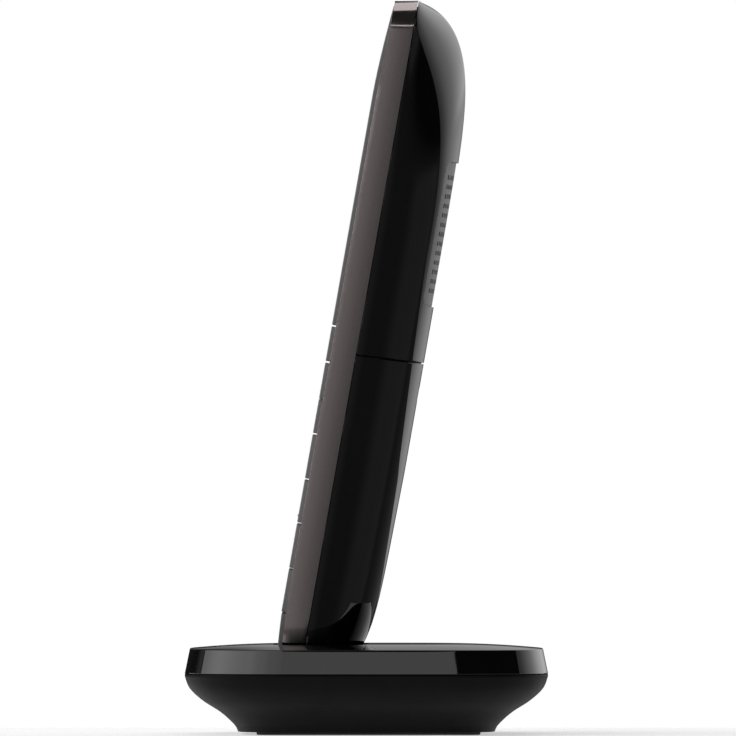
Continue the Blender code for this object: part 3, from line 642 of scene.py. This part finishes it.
def make_rear_housing(m):
    start = SEAM + SEAM_GAP / 2
    tip = LENGTH - 0.02
    stations = seam_stations(start, tip, 2.5)[:5]
    stations += [(u, 0.0) for u in spread(start + 2.5, tip - TOP_BLEND, 2.5)]
    stations += [(tip - TOP_BLEND * (1 - i / 36) ** 2.2, 0.0) for i in range(1, 37)]
    rings = []
    for u, inset in stations:
        near_seam = max(0.0, 1 - (u - start) / SEAM_BLEND)
        rings.append(tilted(outer_loop(u, inset), u, SEAM_SLOPE * near_seam))
    housing = solid("rear_housing_shell", rings)
    lip = [rear_ring(u, LIP_INSET, 1.2, SEAM_SLOPE) for u in (SEAM - LIP_REACH, SEAM + 2.8)]
    dress(solid("seam_lip", lip), "handset", m["matt"], "gloss_black")
    insets = (WALL - 0.1, WALL + 0.6)
    outer, inner = (tapered_outline(i, LENGTH - i, HALF_WIDTH - i, CORNER - i) for i in insets)
    front, back = TONGUE_DEPTHS
    tongue = [deep(outer, front), deep(outer, back), deep(inner, back), deep(inner, front)]
    dress(solid("parting_tongue", tongue, tube=True), "handset", m["matt"], "matt_black")

    pocket_low, pocket_high = GRILLE[0] - POCKET_MARGIN, GRILLE[1] + POCKET_MARGIN
    lengths = [SEAM + 2.6, pocket_low, pocket_low + 0.1, pocket_high, pocket_high + 0.1]
    lengths += spread(136.0, 160.0, 3.0) + spread(161.0, LENGTH - 2.1, 0.8)
    hollow = []
    for u in lengths:
        wall = POCKET_WALL if pocket_low < u <= pocket_high else WALL
        hollow.append(level(arch(u, wall, CORE_FRONT, 48, WALL), u))
    sound = circle((0, sum(GRILLE) / 2), SOUND_RADIUS, 48)
    carve(housing, [solid("hollow", hollow), grille_prism("pocket", 0.05, POCKET_DEPTH),
                    prisms("sound", [sound], (17.0, 25.0))])
    make_tail(m)
    tray = outline((0, TRAY_MIDDLE), TRAY_SIZE, 3.0)
    dress(prisms("battery_tray", [tray], (7.25, 8.85)), "handset", m["matt"], "matt_black")
    dress(housing, "handset", m["gloss"], "gloss_black", "rear_housing")


def tail_end(depth, below=0.0):
    """Length at which the tail block ends; its top face slopes towards the back."""
    return TAIL_TOP - below + TAIL_SLOPE * (depth - PARTING)


def make_tail(m):
    """Block at the foot of the rear shell, with the openings of the two charging pads."""
    stations = [(0.05 + t, e) for e, t in fillet(TAIL_EDGE)] + [(u, 0.0) for u in spread(0.8, 7.0, 0.7)]
    rings = []
    for u, inset in stations:
        rings.append([(x, v, min(u, tail_end(v, 0.1))) for x, v in arch(u, inset, REAR_FRONT, 60)])
    rings.append([(x, v, tail_end(v)) for x, v in arch(TAIL_TOP, 0.0, REAR_FRONT, 60)])
    tail = solid("tail_block", rings)
    pads = [outline((side * PAD_X, PAD_DEPTH), PAD_SIZE, 0.6) for side in (-1, 1)]
    carve(tail, [posts("pads", pads, (-1.0, 1.0), HANDSET)])
    dress(tail, "handset", m["gloss"], "gloss_black")


def grille_prism(name, grow, depth, sink=None):
    """Block with the grille's outline that ends at a depth below the rear surface.

    Where sink is given, the block also starts that far below the rear surface.
    """
    low, high, corner = GRILLE[0] - grow, GRILLE[1] + grow, GRILLE_CORNER + grow
    stations = corner_stations(low, high, corner, spread(low + 5.0, high - 5.0, 2.5), 10)
    side = [(rounded_half(u, low, high, surface_half(u, GRILLE_EDGE) + grow, corner), u) for u in stations]
    block = prisms(name, [mirrored(side)], (14.0, 27.0))
    lengths = spread(GRILLE[0] - 2.0, GRILLE[1] + 2.0, 2.0)
    carve(block, [solid("core", [full_ring(u, depth) for u in lengths])])
    if sink is not None:
        carve(block, [solid("skin", [full_ring(u, sink) for u in lengths])], "INTERSECT")
    return block


def make_grille(m):
    grille = grille_prism("speaker_grille_insert", 0.0, GRILLE_SINK + GRILLE_THICK, GRILLE_SINK)
    half = (HOLE_SIZE[0] / 2, HOLE_SIZE[1] / 2)
    holes = []
    for row in range(HOLE_ROWS):
        u = sum(GRILLE) / 2 + (row - (HOLE_ROWS - 1) / 2) * HOLE_PITCH[1]
        pitch = HOLE_PITCH[0] * surface_half(u, GRILLE_EDGE) / surface_half(GRILLE[0], GRILLE_EDGE)
        for column in range(HOLE_COLUMNS):
            centre = ((column - (HOLE_COLUMNS - 1) / 2) * pitch, u)
            holes.append(outline(centre, half, HOLE_CORNER, 2))
    carve(grille, [prisms("holes", holes, (15.0, 27.0))])
    dress(grille, "handset", m["grille"], "satin_grey", "speaker_grille")
    cloth = grille_prism("grille_cloth", -0.2, POCKET_DEPTH - 0.05, GRILLE_SINK + GRILLE_THICK + 0.05)
    dress(cloth, "handset", m["cloth"], "matt_black")


def make_battery_cover(m):
    low, high = TAIL_TOP + 0.3, SEAM - SEAM_GAP / 2
    rebate = high - LIP_REACH - 0.1
    rings = []
    for u, inset in sorted(seam_stations(low, high, 2.0) + [(rebate - 0.01, 0.0), (rebate, 0.0)]):
        near_seam = max(0.0, 1 - (high - u) / SEAM_BLEND)
        wall = WALL if u < rebate else LIP_INSET - 0.1
        rings.append(rear_ring(u, inset, wall - inset, SEAM_SLOPE * near_seam))
    cover = solid("battery_cover_shell", rings)
    carve(cover, [solid("notch", stepped((0, SEAM - 7.0), (7.0, 2.2), 2.1, NOTCH_PROFILE, 10))])
    dress(cover, "battery_cover", m["gloss"], "gloss_black", "battery_cover")


def make_front_frame(m):
    end = LENGTH - TOP_SLANT * FRAME_BACK
    rings = []
    for u in corner_stations(0.0, end, CORNER, spread(CORNER + 2, end - CORNER - 1, 4.0)):
        lift = min(1.0, max(0.0, (u - LIFT_START) / (end - LIFT_START)))
        rim = front_depth(u) + RIM * (1 - lift ** 1.5)
        half = rounded_half(u, 0.0, end, HALF_WIDTH, CORNER) - taper(u)
        side = [(half - SIDE_CROWN - e, rim + t) for e, t in fillet(FRONT_EDGE)[:-1]]
        for i in range(9):
            v = rim + FRONT_EDGE + (FRAME_BACK - EDGE - rim - FRONT_EDGE) * i / 8
            side.append((half - SIDE_CROWN * ((FRAME_BACK - v) / (FRAME_BACK - RIM)) ** 2, v))
        side += [(half - e, FRAME_BACK - t) for e, t in reversed(fillet(EDGE)[:-1])]
        rings.append([(x, v, u + TOP_SLANT * lift * v) for x, v in mirrored(side)])
    shell = solid("front_frame_shell", rings)
    gap = 0.2
    recess = tapered_outline(FIELD_ENDS[0] - gap, FIELD_ENDS[1] + gap, FIELD_HALF + gap, FIELD_CORNER + gap)
    cavity = tapered_outline(FIELD_ENDS[0] + 0.7, FIELD_ENDS[1] + 0.1, HALF_WIDTH - WALL, CORNER - WALL)
    places = [centre for centre, _ in key_places().values()] + [NAV_AT]
    openings = [outline(place, (STEM_HALF + 0.4, STEM_HALF + 0.4), 0.8) for place in places]
    openings.append(outline(DISPLAY_AT, grown(DISPLAY_SIZE, 0.9), 1.0))
    openings.append(circle((0, EARPIECE), 6.5, 24))
    carve(shell, [prisms("recess", [recess], (-3.0, DECK)), prisms("cavity", [cavity], (3.6, 9.0)),
                  prisms("deck_openings", openings, (1.6, 4.6))])
    dress(shell, "handset", m["gunmetal"], "gunmetal", "front_frame")


def fascia(name, stations, thick):
    rings = []
    for u, inset in stations:
        half = rounded_half(u, *FIELD_ENDS, FIELD_HALF, FIELD_CORNER) - inset - taper(u)
        low = front_depth(u) + inset
        high = min(front_depth(u) + thick, DECK - 0.3)
        side = [(half - e, low + t) for e, t in fillet(FASCIA_EDGE)] + [(half, high)]
        rings.append(level(mirrored(side), u))
    return solid(name, rings)


def make_fascias(m):
    low, high = ROW_EDGES[-1] + GROOVE / 2, FIELD_ENDS[1]
    stations = [(low + t, e) for e, t in fillet(FASCIA_EDGE)]
    stations += [(u, 0.0) for u in spread(low + 3, high - FIELD_CORNER - 1, 3.0)]
    stations += [(high - t, 0.0) for t in reversed(arc_lengths(FIELD_CORNER))]
    upper = fascia("upper_fascia_shell", stations, 1.4)
    window = outline(DISPLAY_AT, grown(DISPLAY_SIZE, 0.12), 1.1)
    slot = outline((0, EARPIECE), (6.1, 1.2), 1.1)
    carve(upper, [prisms("window", [window], (-1.0, 3.0)), prisms("ear", [slot], (-1.0, 3.0))])
    dress(upper, "handset", m["keys"], "key_gunmetal", "upper_fascia")

    low, high = FIELD_ENDS[0], ROW_EDGES[0] - GROOVE / 2
    stations = [(low + t, 0.0) for t in arc_lengths(FIELD_CORNER)]
    stations += [(u, 0.0) for u in spread(8.0, high - 1.0, 1.5)]
    stations += [(high - t, e) for e, t in reversed(fillet(FASCIA_EDGE))]
    lower = fascia("lower_fascia_shell", stations, 1.2)
    carve(lower, [prisms("mic", [outline((0, 6.0), (1.5, 0.4), 0.35)], (-1.0, 4.0))])
    dress(lower, "handset", m["keys"], "key_gunmetal", "lower_fascia")


def key_place(left, right, row):
    """Centre and half size of a key, as (x, length) pairs."""
    low, high = ROW_EDGES[row], ROW_EDGES[row + 1]
    return ((left + right) / 2, (low + high) / 2), ((right - left) / 2, (high - low - GROOVE) / 2)


def key_places():
    """Centre and half size of every key."""
    third = FIELD_HALF * 2 / 3
    places = {}
    for row, trio in enumerate(DIGIT_KEYS):
        for column, name in enumerate(trio):
            left = -FIELD_HALF + column * third + (GROOVE / 2 if column else 0)
            right = -FIELD_HALF + (column + 1) * third - (GROOVE / 2 if column < 2 else 0)
            places[name] = key_place(left, right, row)
    for row, pair in enumerate(SIDE_KEYS, len(DIGIT_KEYS)):
        inner = GROOVE / 2 if pair is SIDE_KEYS[-1] else NAV_HALF + GROOVE / 2
        places[pair[0]] = key_place(-FIELD_HALF, -inner, row)
        places[pair[1]] = key_place(inner, FIELD_HALF, row)
    return places


def key_cap(name, centre, half, radius):
    """Key with a rounded edge, a slightly sunk face and a plunger behind it."""
    stem = outline(centre, (STEM_HALF, STEM_HALF), 0.6)
    rings = []
    for f in (0.05, 0.3, 0.6, 0.85):
        loop = outline(centre, (half[0] * f, half[1] * f), max(radius * f, 0.02))
        rings.append(deep(loop, KEY_DISH * (1 - f) ** 0.5))
    rings += stepped(centre, half, radius, fillet(KEY_EDGE))
    rings += [deep(outline(centre, half, radius), KEY_BACK), deep(stem, KEY_BACK), deep(stem, STEM_END)]
    return solid(name, rings)


def lettering(name, text, centre, size, depth):
    """Thin raised lettering that faces the front."""
    curve = bpy.data.curves.new(name, "FONT")
    curve.body = text
    curve.size = size * MM
    curve.extrude = PRINT / 2 * MM
    curve.align_x = "CENTER"
    curve.align_y = "CENTER"
    curve.resolution_u = 6
    text_object = new_object(name, curve)
    mesh = final_mesh(text_object)
    bpy.data.objects.remove(text_object, do_unlink=True)
    place = Matrix.Translation((centre[0] * MM, (depth - PRINT / 2) * MM, centre[1] * MM))
    mesh.transform(HANDSET @ place @ Matrix.Rotation(radians(90), 4, "X"))
    return new_object(name, mesh)


def mark(name, loops, depth):
    """Thin printed shapes, each a closed loop of (x, length) points."""
    return prisms(name, loops, (depth - PRINT, depth + 0.05))


def handset_icon(centre, size, turn):
    """Outline of a telephone receiver: an arc with two ends."""
    points = arc((0.0, -0.45), (1.0, 0.85), 150, 30, 12)
    points += [(0.98, -0.45), (0.52, -0.5), (0.45, -0.12)]
    points += arc((0.0, -0.42), (0.66, 0.55), 50, 130, 8)
    points += [(-0.45, -0.12), (-0.52, -0.5), (-0.98, -0.45)]
    c, s = cos(radians(turn)), sin(radians(turn))
    return [(centre[0] + size * (a * c - b * s), centre[1] + size * (a * s + b * c)) for a, b in points]


def make_keys(m):
    places = key_places()
    for name, (centre, half) in places.items():
        dress(key_cap(name + "_cap", centre, half, KEY_CORNER), name, m["keys"], "key_gunmetal", name)
    labels = {"key_star": "*", "key_hash": "#", **{f"key_{i}": str(i) for i in range(10)}}
    for name, text in labels.items():
        x, length = places[name][0]
        drop = 0.9 if text == "*" else 0.0
        made = lettering(name + "_digit", text, (x, length - drop), DIGIT_SIZE, KEY_DISH * 0.9)
        dress(made, name, m["ink"], "nav_satin")
    x, length = places["key_5"][0]
    nib = stepped((x, length - 3.6), (1.4, 0.3), 0.28, NIB_PROFILE)
    dress(solid("key_5_nib", nib), "key_5", m["keys"], "key_gunmetal")
    make_icons(m, places)
    make_nav(m)


def make_icons(m, places):
    """Printed signs of the keys above the numbers."""
    talk, end = places["key_talk"][0], places["key_end"][0]
    x, length = places["key_menu"][0]
    menu = [outline((x, length + d), (1.7, 0.2), 0.18) for d in (-0.95, 0.0, 0.95)]
    x, length = places["key_speaker"][0]
    corners = ((-1.7, -0.5), (-0.9, -0.5), (0.0, -1.3), (0.0, 1.3), (-0.9, 0.5), (-1.7, 0.5))
    speaker = [[(x + a, length + b) for a, b in corners]]
    for radius in (1.0, 1.7):
        outer = arc((x + 0.1, length), (radius, radius), -45, 45, 10)
        inner = arc((x + 0.1, length), grown((radius, radius), -0.3), 45, -45, 10)
        speaker.append(outer + inner)
    signs = [("talk_icon", "key_talk", [handset_icon(talk, 2.3, 35)], "green"),
             ("end_icon", "key_end", [handset_icon(end, 2.3, 0)], "red"),
             ("menu_icon", "key_menu", menu, "ink"),
             ("speaker_icon", "key_speaker", speaker, "ink")]
    for key in SIDE_KEYS[-1]:
        signs.append((key + "_bar", key, [outline(places[key][0], (2.4, 0.22), 0.2)], "ink"))
    for name, key, loops, ink in signs:
        dress(mark(name, loops, KEY_DISH), key, m[ink], "nav_satin")


def make_nav(m):
    half = (NAV_HALF - GROOVE / 2, (ROW_EDGES[6] - ROW_EDGES[4] - GROOVE) / 2)
    hole = (OK_HALF + 0.3, OK_HALF + 0.3)
    rim = 0.4
    rings = [deep(outline(NAV_AT, half, NAV_CORNER), KEY_BACK)]
    rings += stepped(NAV_AT, half, NAV_CORNER, reversed(fillet(rim, 4)))
    for f in (0.25, 0.5, 0.75):
        size = [a + (hole[0] - a) * f for a in grown(half, -rim)]
        rings.append(deep(outline(NAV_AT, size, 2.0), 0.1 + 0.25 * f))
    rings += stepped(NAV_AT, hole, 1.6, [(-e, 0.38 + t) for e, t in fillet(KEY_EDGE)])
    rings.append(deep(outline(NAV_AT, hole, 1.6), KEY_BACK))
    ring = solid("nav_ring_cap", rings, tube=True)
    dress(ring, "nav_ring", m["nav"], "nav_satin", "nav_ring")
    arrows = []
    for side in (-1, 1):
        tip, foot = NAV_AT[1] + side * 6.9, NAV_AT[1] + side * 5.6
        arrows.append([(0.0, tip), (side * 1.1, foot), (-side * 1.1, foot)])
    dress(mark("nav_arrows", arrows, 0.28), "nav_ring", m["lcd_ink"], "matt_black")
    button = key_cap("nav_ok_cap", NAV_AT, (OK_HALF, OK_HALF), 1.5)
    dress(button, "nav_ok", m["nav"], "nav_satin", "nav_ok")
    dot = mark("nav_ok_dot", [outline(NAV_AT, (0.8, 0.8), 0.78)], KEY_DISH)
    dress(dot, "nav_ok", m["lcd_ink"], "matt_black")


def make_display(m):
    rings = stepped(DISPLAY_AT, DISPLAY_SIZE, 1.0, fillet(0.2))
    rings.append(deep(outline(DISPLAY_AT, DISPLAY_SIZE, 1.0), 1.3))
    lens = solid("display_window", rings, BASE)
    lens.matrix_world = HANDSET
    dress(lens, "handset", m["window"], "display_glass", "display_lens")
    middle = DISPLAY_AT[1]
    made = lettering("clock_digits", "12:30", (0.0, middle + 1.0), CLOCK_SIZE, LCD_PRINT)
    dress(made, "handset", m["lcd_ink"], "matt_black")
    top = middle + 13.4
    strips = [((-14.0 + 1.3 * i, top - 1.3 + 0.35 * i), (0.4, 0.5 + 0.35 * i)) for i in range(4)]
    strips += [((11.2, top), (2.4, 0.18)), ((11.2, top - 2.2), (2.4, 0.18)), ((8.9, top - 1.1), (0.18, 1.1)),
               ((13.5, top - 1.1), (0.18, 1.1)), ((14.0, top - 1.1), (0.25, 0.5))]
    strips += [((9.9 + 1.3 * i, top - 1.1), (0.45, 0.6)) for i in range(3)]
    strips += [((side * 8.0, middle - 14.6), (5.2, 0.16)) for side in (-1, 1)]
    loops = [outline(centre, half, 0.1, 2) for centre, half in strips]
    dress(mark("status_marks", loops, LCD_PRINT), "handset", m["lcd_ink"], "matt_black")


def make_earpiece(m):
    profile = ((0.15, 0.75), (0.04, 0.79), (0.0, 0.9), (0.0, 1.5))
    plate = solid("earpiece_insert", stepped((0, EARPIECE), (6.0, 1.1), 1.0, profile))
    slots = [outline((x, EARPIECE), (0.28, 0.62), 0.26, 4) for x in spread(-4.6, 4.6, 1.15)]
    carve(plate, [prisms("ear_slots", slots, (-1.0, 3.0))])
    dress(plate, "handset", m["grille"], "screw_steel", "earpiece_grille")


# ---- base pieces ----

def plan(inset, height, count=192):
    """Outline of the base seen from above, drawn in by the inset."""
    points = []
    for i in range(count):
        angle = 2 * pi * i / count
        x = bulge(cos(angle), BASE_X - inset, PLAN_POWER)
        points.append((x, bulge(sin(angle), BASE_Y - inset, PLAN_POWER), height))
    return points


def crown_height(inset):
    """Height of the top plate at a distance from the base's edge."""
    rise = min(max((inset - BAND_INSET) / CROWN_WIDTH, 0.0), 1.0)
    return CROWN_EDGE + (CROWN_TOP - CROWN_EDGE) * (1 - (1 - rise) ** 2)


def band_inset(z):
    """The band round the top plate leans in evenly towards its top edge."""
    return BAND_INSET * (z - BASE_JOINT) / (CROWN_EDGE - BASE_JOINT)


def well_section(grow):
    """Section of the well that holds the handset, seen along the handset."""
    side, front, back = (g + grow for g in WELL_GAP)
    points = []
    for i in range(WELL_STEPS + 1):
        angle = pi * i / WELL_STEPS
        depth = PARTING + (WELL_BACK + back - PARTING) * sin(angle) ** (2 / SECTION_POWER)
        points.append((bulge(cos(angle), HALF_WIDTH + side, SECTION_POWER), depth))
    left = (-HALF_WIDTH - side + WELL_CORNER, WELL_CORNER - front)
    right = (HALF_WIDTH + side - WELL_CORNER, WELL_CORNER - front)
    size = (WELL_CORNER, WELL_CORNER)
    return points + arc(left, size, 180, 270, 5) + arc(right, size, 270, 360, 5)


def make_top_plate(m):
    low, lip = BASE_JOINT + JOINT_GAP, CROWN_EDGE - LIP_CORNER
    profile = [(e, low + t) for e, t in fillet(JOINT_EDGE)]
    profile += [(band_inset(z), z) for z in spread(low + JOINT_EDGE, lip, 0.35)]
    for i in range(1, 7):
        angle = pi / 2 * i / 6
        profile.append((band_inset(lip) + LIP_CORNER * (1 - cos(angle)), lip + LIP_CORNER * sin(angle)))
    start = profile[-1][0]
    for inset in spread(start + 0.6, BAND_INSET + CROWN_WIDTH, 0.7):
        profile.append((inset, crown_height(inset) + 0.02 * max(0, 1 - (inset - start) / 3)))
    top = solid("base_top_shell", [plan(i, z) for i, z in profile], BASE)

    hollow = [plan(BASE_WALL, BASE_JOINT - 3.0, 96), plan(BASE_WALL + BAND_INSET, CROWN_EDGE - BASE_WALL, 96)]
    hollow += [plan(i, crown_height(i) - BASE_WALL, 96) for i in (4.0, 7.0, 10.0, 15.0, 20.0, 24.2)]
    inside = solid("inside", hollow, BASE)
    well = [well_section(WELL_WALL)]
    carve(inside, [posts("keep", well, (-2.0, 30.0), HANDSET)])
    carve(top, [inside])
    carve(top, [posts("skirt", well, (-2.0, 8.0), HANDSET)], "UNION")
    pins = [circle((side * PAD_X, PAD_DEPTH), 1.5) for side in (-1, 1)]
    button, light = grown(BUTTON_SIZE, 0.2), grown(LIGHT_SIZE, 0.15)
    carve(top, [posts("pocket", [well_section(0.0)], (WELL_BOTTOM, 40.0), HANDSET),
                posts("button_hole", [outline((0, BUTTON_Y), button, 2.5, 10)], (12.0, 24.0)),
                posts("light_hole", [outline((0, LIGHT_Y), light, 0.65, 8)], (12.0, 24.0)),
                posts("pins", pins, (-4.0, 1.0), HANDSET)])
    dress(top, "base", m["gloss"], "gloss_black", "base_top_plate")


def on_crown(pairs, drop):
    """Points of a plan view, put onto the base's crown and lowered by the drop."""
    return [(x, y, crown_height(BASE_Y + y) - drop) for x, y in pairs]


def make_page_button(m):
    cap = []
    for e, drop in ((0.0, 3.6), (0.0, 0.25), (0.07, 0.08), (0.25, 0.0), (2.4, -0.03)):
        half = (BUTTON_SIZE[0] - e, BUTTON_SIZE[1] - min(e, 2.2))
        cap.append(on_crown(outline((0, BUTTON_Y), half, max(2.4 - e, 0.3), 10), drop + 0.05))
    dress(solid("page_button_cap", cap, BASE), "page_button", m["gloss"], "gloss_black", "page_button")
    outer, inner = (outline((0, BUTTON_Y), (r, r), r - 0.02, 8) for r in (1.3, 0.95))
    sign = [on_crown(outer, 0.11), on_crown(outer, 0.01), on_crown(inner, 0.01), on_crown(inner, 0.11)]
    dress(solid("page_button_sign", sign, BASE, tube=True), "page_button", m["ink"], "nav_satin")
    pipe = []
    for e, drop in ((0.0, 8.0), (0.0, 0.15), (0.04, 0.05), (0.15, 0.0)):
        pipe.append(on_crown(inset_outline((0, LIGHT_Y), LIGHT_SIZE, 0.5, e, 8), drop + 0.04))
    dress(solid("light_pipe_window", pipe, BASE), "base", m["light"], "light_pipe_clear", "light_pipe")


def make_lower_housing(m):
    line = smooth_line(LOWER_PROFILE, 10)
    profile = [(line[0][0] + 0.5, line[0][1])] + line
    profile += [(e, BASE_JOINT - JOINT_GAP - t) for e, t in reversed(fillet(JOINT_EDGE))]
    shell = solid("base_lower_shell", [plan(max(i, 0.0), z) for i, z in profile], BASE)
    hollow = solid("hollow", [plan(i, z, 96) for i, z in LOWER_HOLLOW], BASE)
    feet = [outline((side * FOOT_X, FOOT_Y), grown(FOOT_SIZE, 0.2), 4.1, 10) for side in (-1, 1)]
    sockets = [outline((x, y), (a, b), 0.5, 4) for x, y, a, b in SOCKETS]
    spots = [(side * BOSS_X, y) for side in (-1, 1) for y in BOSS_Y]
    carve(shell, [hollow, posts("feet", feet, (-1.0, 1.9)), posts("sockets", sockets, (-1.0, 5.0)),
                  posts("screws", [circle(s, 1.35, 24) for s in spots], (-1.0, 5.0)),
                  posts("heads", [circle(s, 2.7, 32) for s in spots], (-1.0, 2.0))])
    dress(shell, "base", m["matt"], "matt_black", "base_lower_housing")


def make_feet(m):
    profile = ((0.3, 0.0), (0.08, 0.08), (0.0, 0.3), (0.0, 1.6))
    for side, name in ((-1, "left"), (1, "right")):
        centre = (side * FOOT_X, FOOT_Y)
        rings = [level(inset_outline(centre, FOOT_SIZE, 3.9, e, 12), z) for e, z in profile]
        foot = solid("foot_rubber_" + name, rings, BASE)
        dress(foot, "base", m["rubber"], "rubber_dark", "foot_strip_" + name)


# ---- kept CAD nodes ----

def recolour(m):
    """Gives the CAD pieces that stay as they are their materials."""
    finishes = {"lcd": ("lcd_module",), "rubber": ("keypad_mat",),
                "board": ("handset_pcb", "base_pcb", "button_board"),
                "gold": ("handset_pad_left", "handset_pad_right", "charge_pin_left", "charge_pin_right"),
                "steel": ("earpiece_receiver", "microphone", "battery_spring_left", "battery_spring_right",
                          "battery_link", "handset_screw_left", "handset_screw_right", "base_screw_left",
                          "base_screw_right"),
                "wrap": ("battery_left", "battery_right"),
                "matt": ("loudspeaker", "contact_block", "page_switch", "line_socket", "power_jack")}
    for finish, nodes in finishes.items():
        for node in nodes:
            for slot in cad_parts[node].material_slots:
                slot.material = m[finish]


# ---- studio ----

def make_floor():
    shape = bmesh.new()
    below_feet = Matrix.Translation((0.0, 0.0, -FLOOR_DROP * MM))
    bmesh.ops.create_grid(shape, x_segments=8, y_segments=8, size=FLOOR_HALF, matrix=below_feet)
    floor = finish_mesh(shape, "floor")
    paper = plastic("pale_paper", grey(0.8), grey(0.84), (0.7, 0.8), 300.0, 2e-5, mottle=20.0)
    shader = paper.node_tree.nodes["Principled BSDF"]
    shader.inputs["Emission Color"].default_value = (1, 1, 1, 1)
    shader.inputs["Emission Strength"].default_value = 0.5
    floor.data.materials.append(paper)


def soft_box(name, middle, facing, size, radiance, profile=None):
    """Rectangular light; size is (width, height) and facing is where it points.

    profile holds (place along the width, factor) pairs, between which the radiance changes smoothly.
    """
    light = bpy.data.lights.new(name, "AREA")
    light.shape = "RECTANGLE"
    light.size, light.size_y = size
    light.energy = radiance * pi * size[0] * size[1]
    if profile:
        light.use_nodes = True
        tree = light.node_tree
        place = tree.nodes.new("ShaderNodeNewGeometry")
        split = tree.nodes.new("ShaderNodeSeparateXYZ")
        ramp = tree.nodes.new("ShaderNodeValToRGB")
        ramp.color_ramp.interpolation = "EASE"
        stops = ramp.color_ramp.elements
        for place_along, factor in profile[1:-1]:
            stops.new(place_along)
        for stop, (place_along, factor) in zip(stops, profile):
            stop.position = place_along
            stop.color = (factor, factor, factor, 1)
        tree.links.new(place.outputs["Parametric"], split.inputs["Vector"])
        tree.links.new(split.outputs["X"], ramp.inputs["Fac"])
        tree.links.new(ramp.outputs["Color"], tree.nodes["Emission"].inputs["Color"])
    made = new_object(name, light)
    made.location = middle
    made.rotation_euler = Vector(facing).to_track_quat("-Z", "Y").to_euler()
    made.visible_camera = False


def make_room(tree, sky):
    """Dim room round the studio lights: a sum of soft patches, each a product of ranges of direction."""
    where = tree.nodes.new("ShaderNodeTexCoord")
    split = tree.nodes.new("ShaderNodeSeparateXYZ")
    tree.links.new(where.outputs["Generated"], split.inputs["Vector"])
    sums = []
    for patch in ROOM_PATCHES:
        ranges = [map_range(tree, split.outputs[axis], *values, "SMOOTHSTEP") for axis, *values in patch]
        sums.append(combine(tree, "MULTIPLY", ranges))
    tree.links.new(combine(tree, "ADD", sums), sky.inputs["Strength"])


def make_lights():
    world = bpy.data.worlds.new("studio")
    bpy.context.scene.world = world
    world.use_nodes = True
    tree = world.node_tree
    sky = tree.nodes["Background"]
    sky.inputs["Color"].default_value = (1, 1, 1, 1)
    make_room(tree, sky)
    plain = tree.nodes.new("ShaderNodeBackground")
    plain.inputs["Color"].default_value = (1, 1, 1, 1)
    path = tree.nodes.new("ShaderNodeLightPath")
    mix = tree.nodes.new("ShaderNodeMixShader")
    tree.links.new(path.outputs["Is Camera Ray"], mix.inputs["Fac"])
    tree.links.new(sky.outputs["Background"], mix.inputs[1])
    tree.links.new(plain.outputs["Background"], mix.inputs[2])
    tree.links.new(mix.outputs["Shader"], tree.nodes["World Output"].inputs["Surface"])
    soft_box("side_box", (3.0, 0.085, 1.275), (-1, 0, 0), (1.77, 0.15), 1.25)
    soft_box("corner_box", (2.025, -0.9, 1.1), (-0.102, 0.995, 0), (1.96, 1.3), 2.9,
             ((0.0, 0.86), (0.3, 0.66), (0.6, 0.53), (1.0, 0.47)))
    soft_box("front_box", (0.165, -1.0, 0.55), (0, 1, 0), (1.77, 0.7), 2.9,
             ((0.0, 0.3), (0.5, 1.0), (1.0, 0.84)))
    soft_box("back_box", (-0.371, 0.384, 0.24), (0.371, -0.384, 0), (0.83, 0.48), 0.9,
             ((0.0, 0.4), (0.4, 1.0), (1.0, 0.35)))
    soft_box("top_box", (-0.35, 0.0, 0.9), (0, 0, -1), (0.9, 1.2), 0.8)
    bpy.context.scene.view_settings.view_transform = "Standard"


def make_camera():
    """Level side view from far away, so that it is nearly a parallel projection."""
    camera = bpy.data.cameras.new("camera")
    camera.sensor_width = SENSOR
    camera.lens = SENSOR * CAMERA_AT[0] / VIEW_WIDTH
    camera.clip_end = 50.0
    made = new_object("camera", camera)
    made.location = CAMERA_AT
    made.rotation_euler = (radians(90), 0.0, radians(90))
    bpy.context.scene.camera = made


def main():
    make_camera()
    m = make_materials()
    make_rear_housing(m)
    make_grille(m)
    make_battery_cover(m)
    make_front_frame(m)
    make_fascias(m)
    make_keys(m)
    make_display(m)
    make_earpiece(m)
    make_top_plate(m)
    make_page_button(m)
    make_lower_housing(m)
    make_feet(m)
    recolour(m)
    make_floor()
    make_lights()


main()
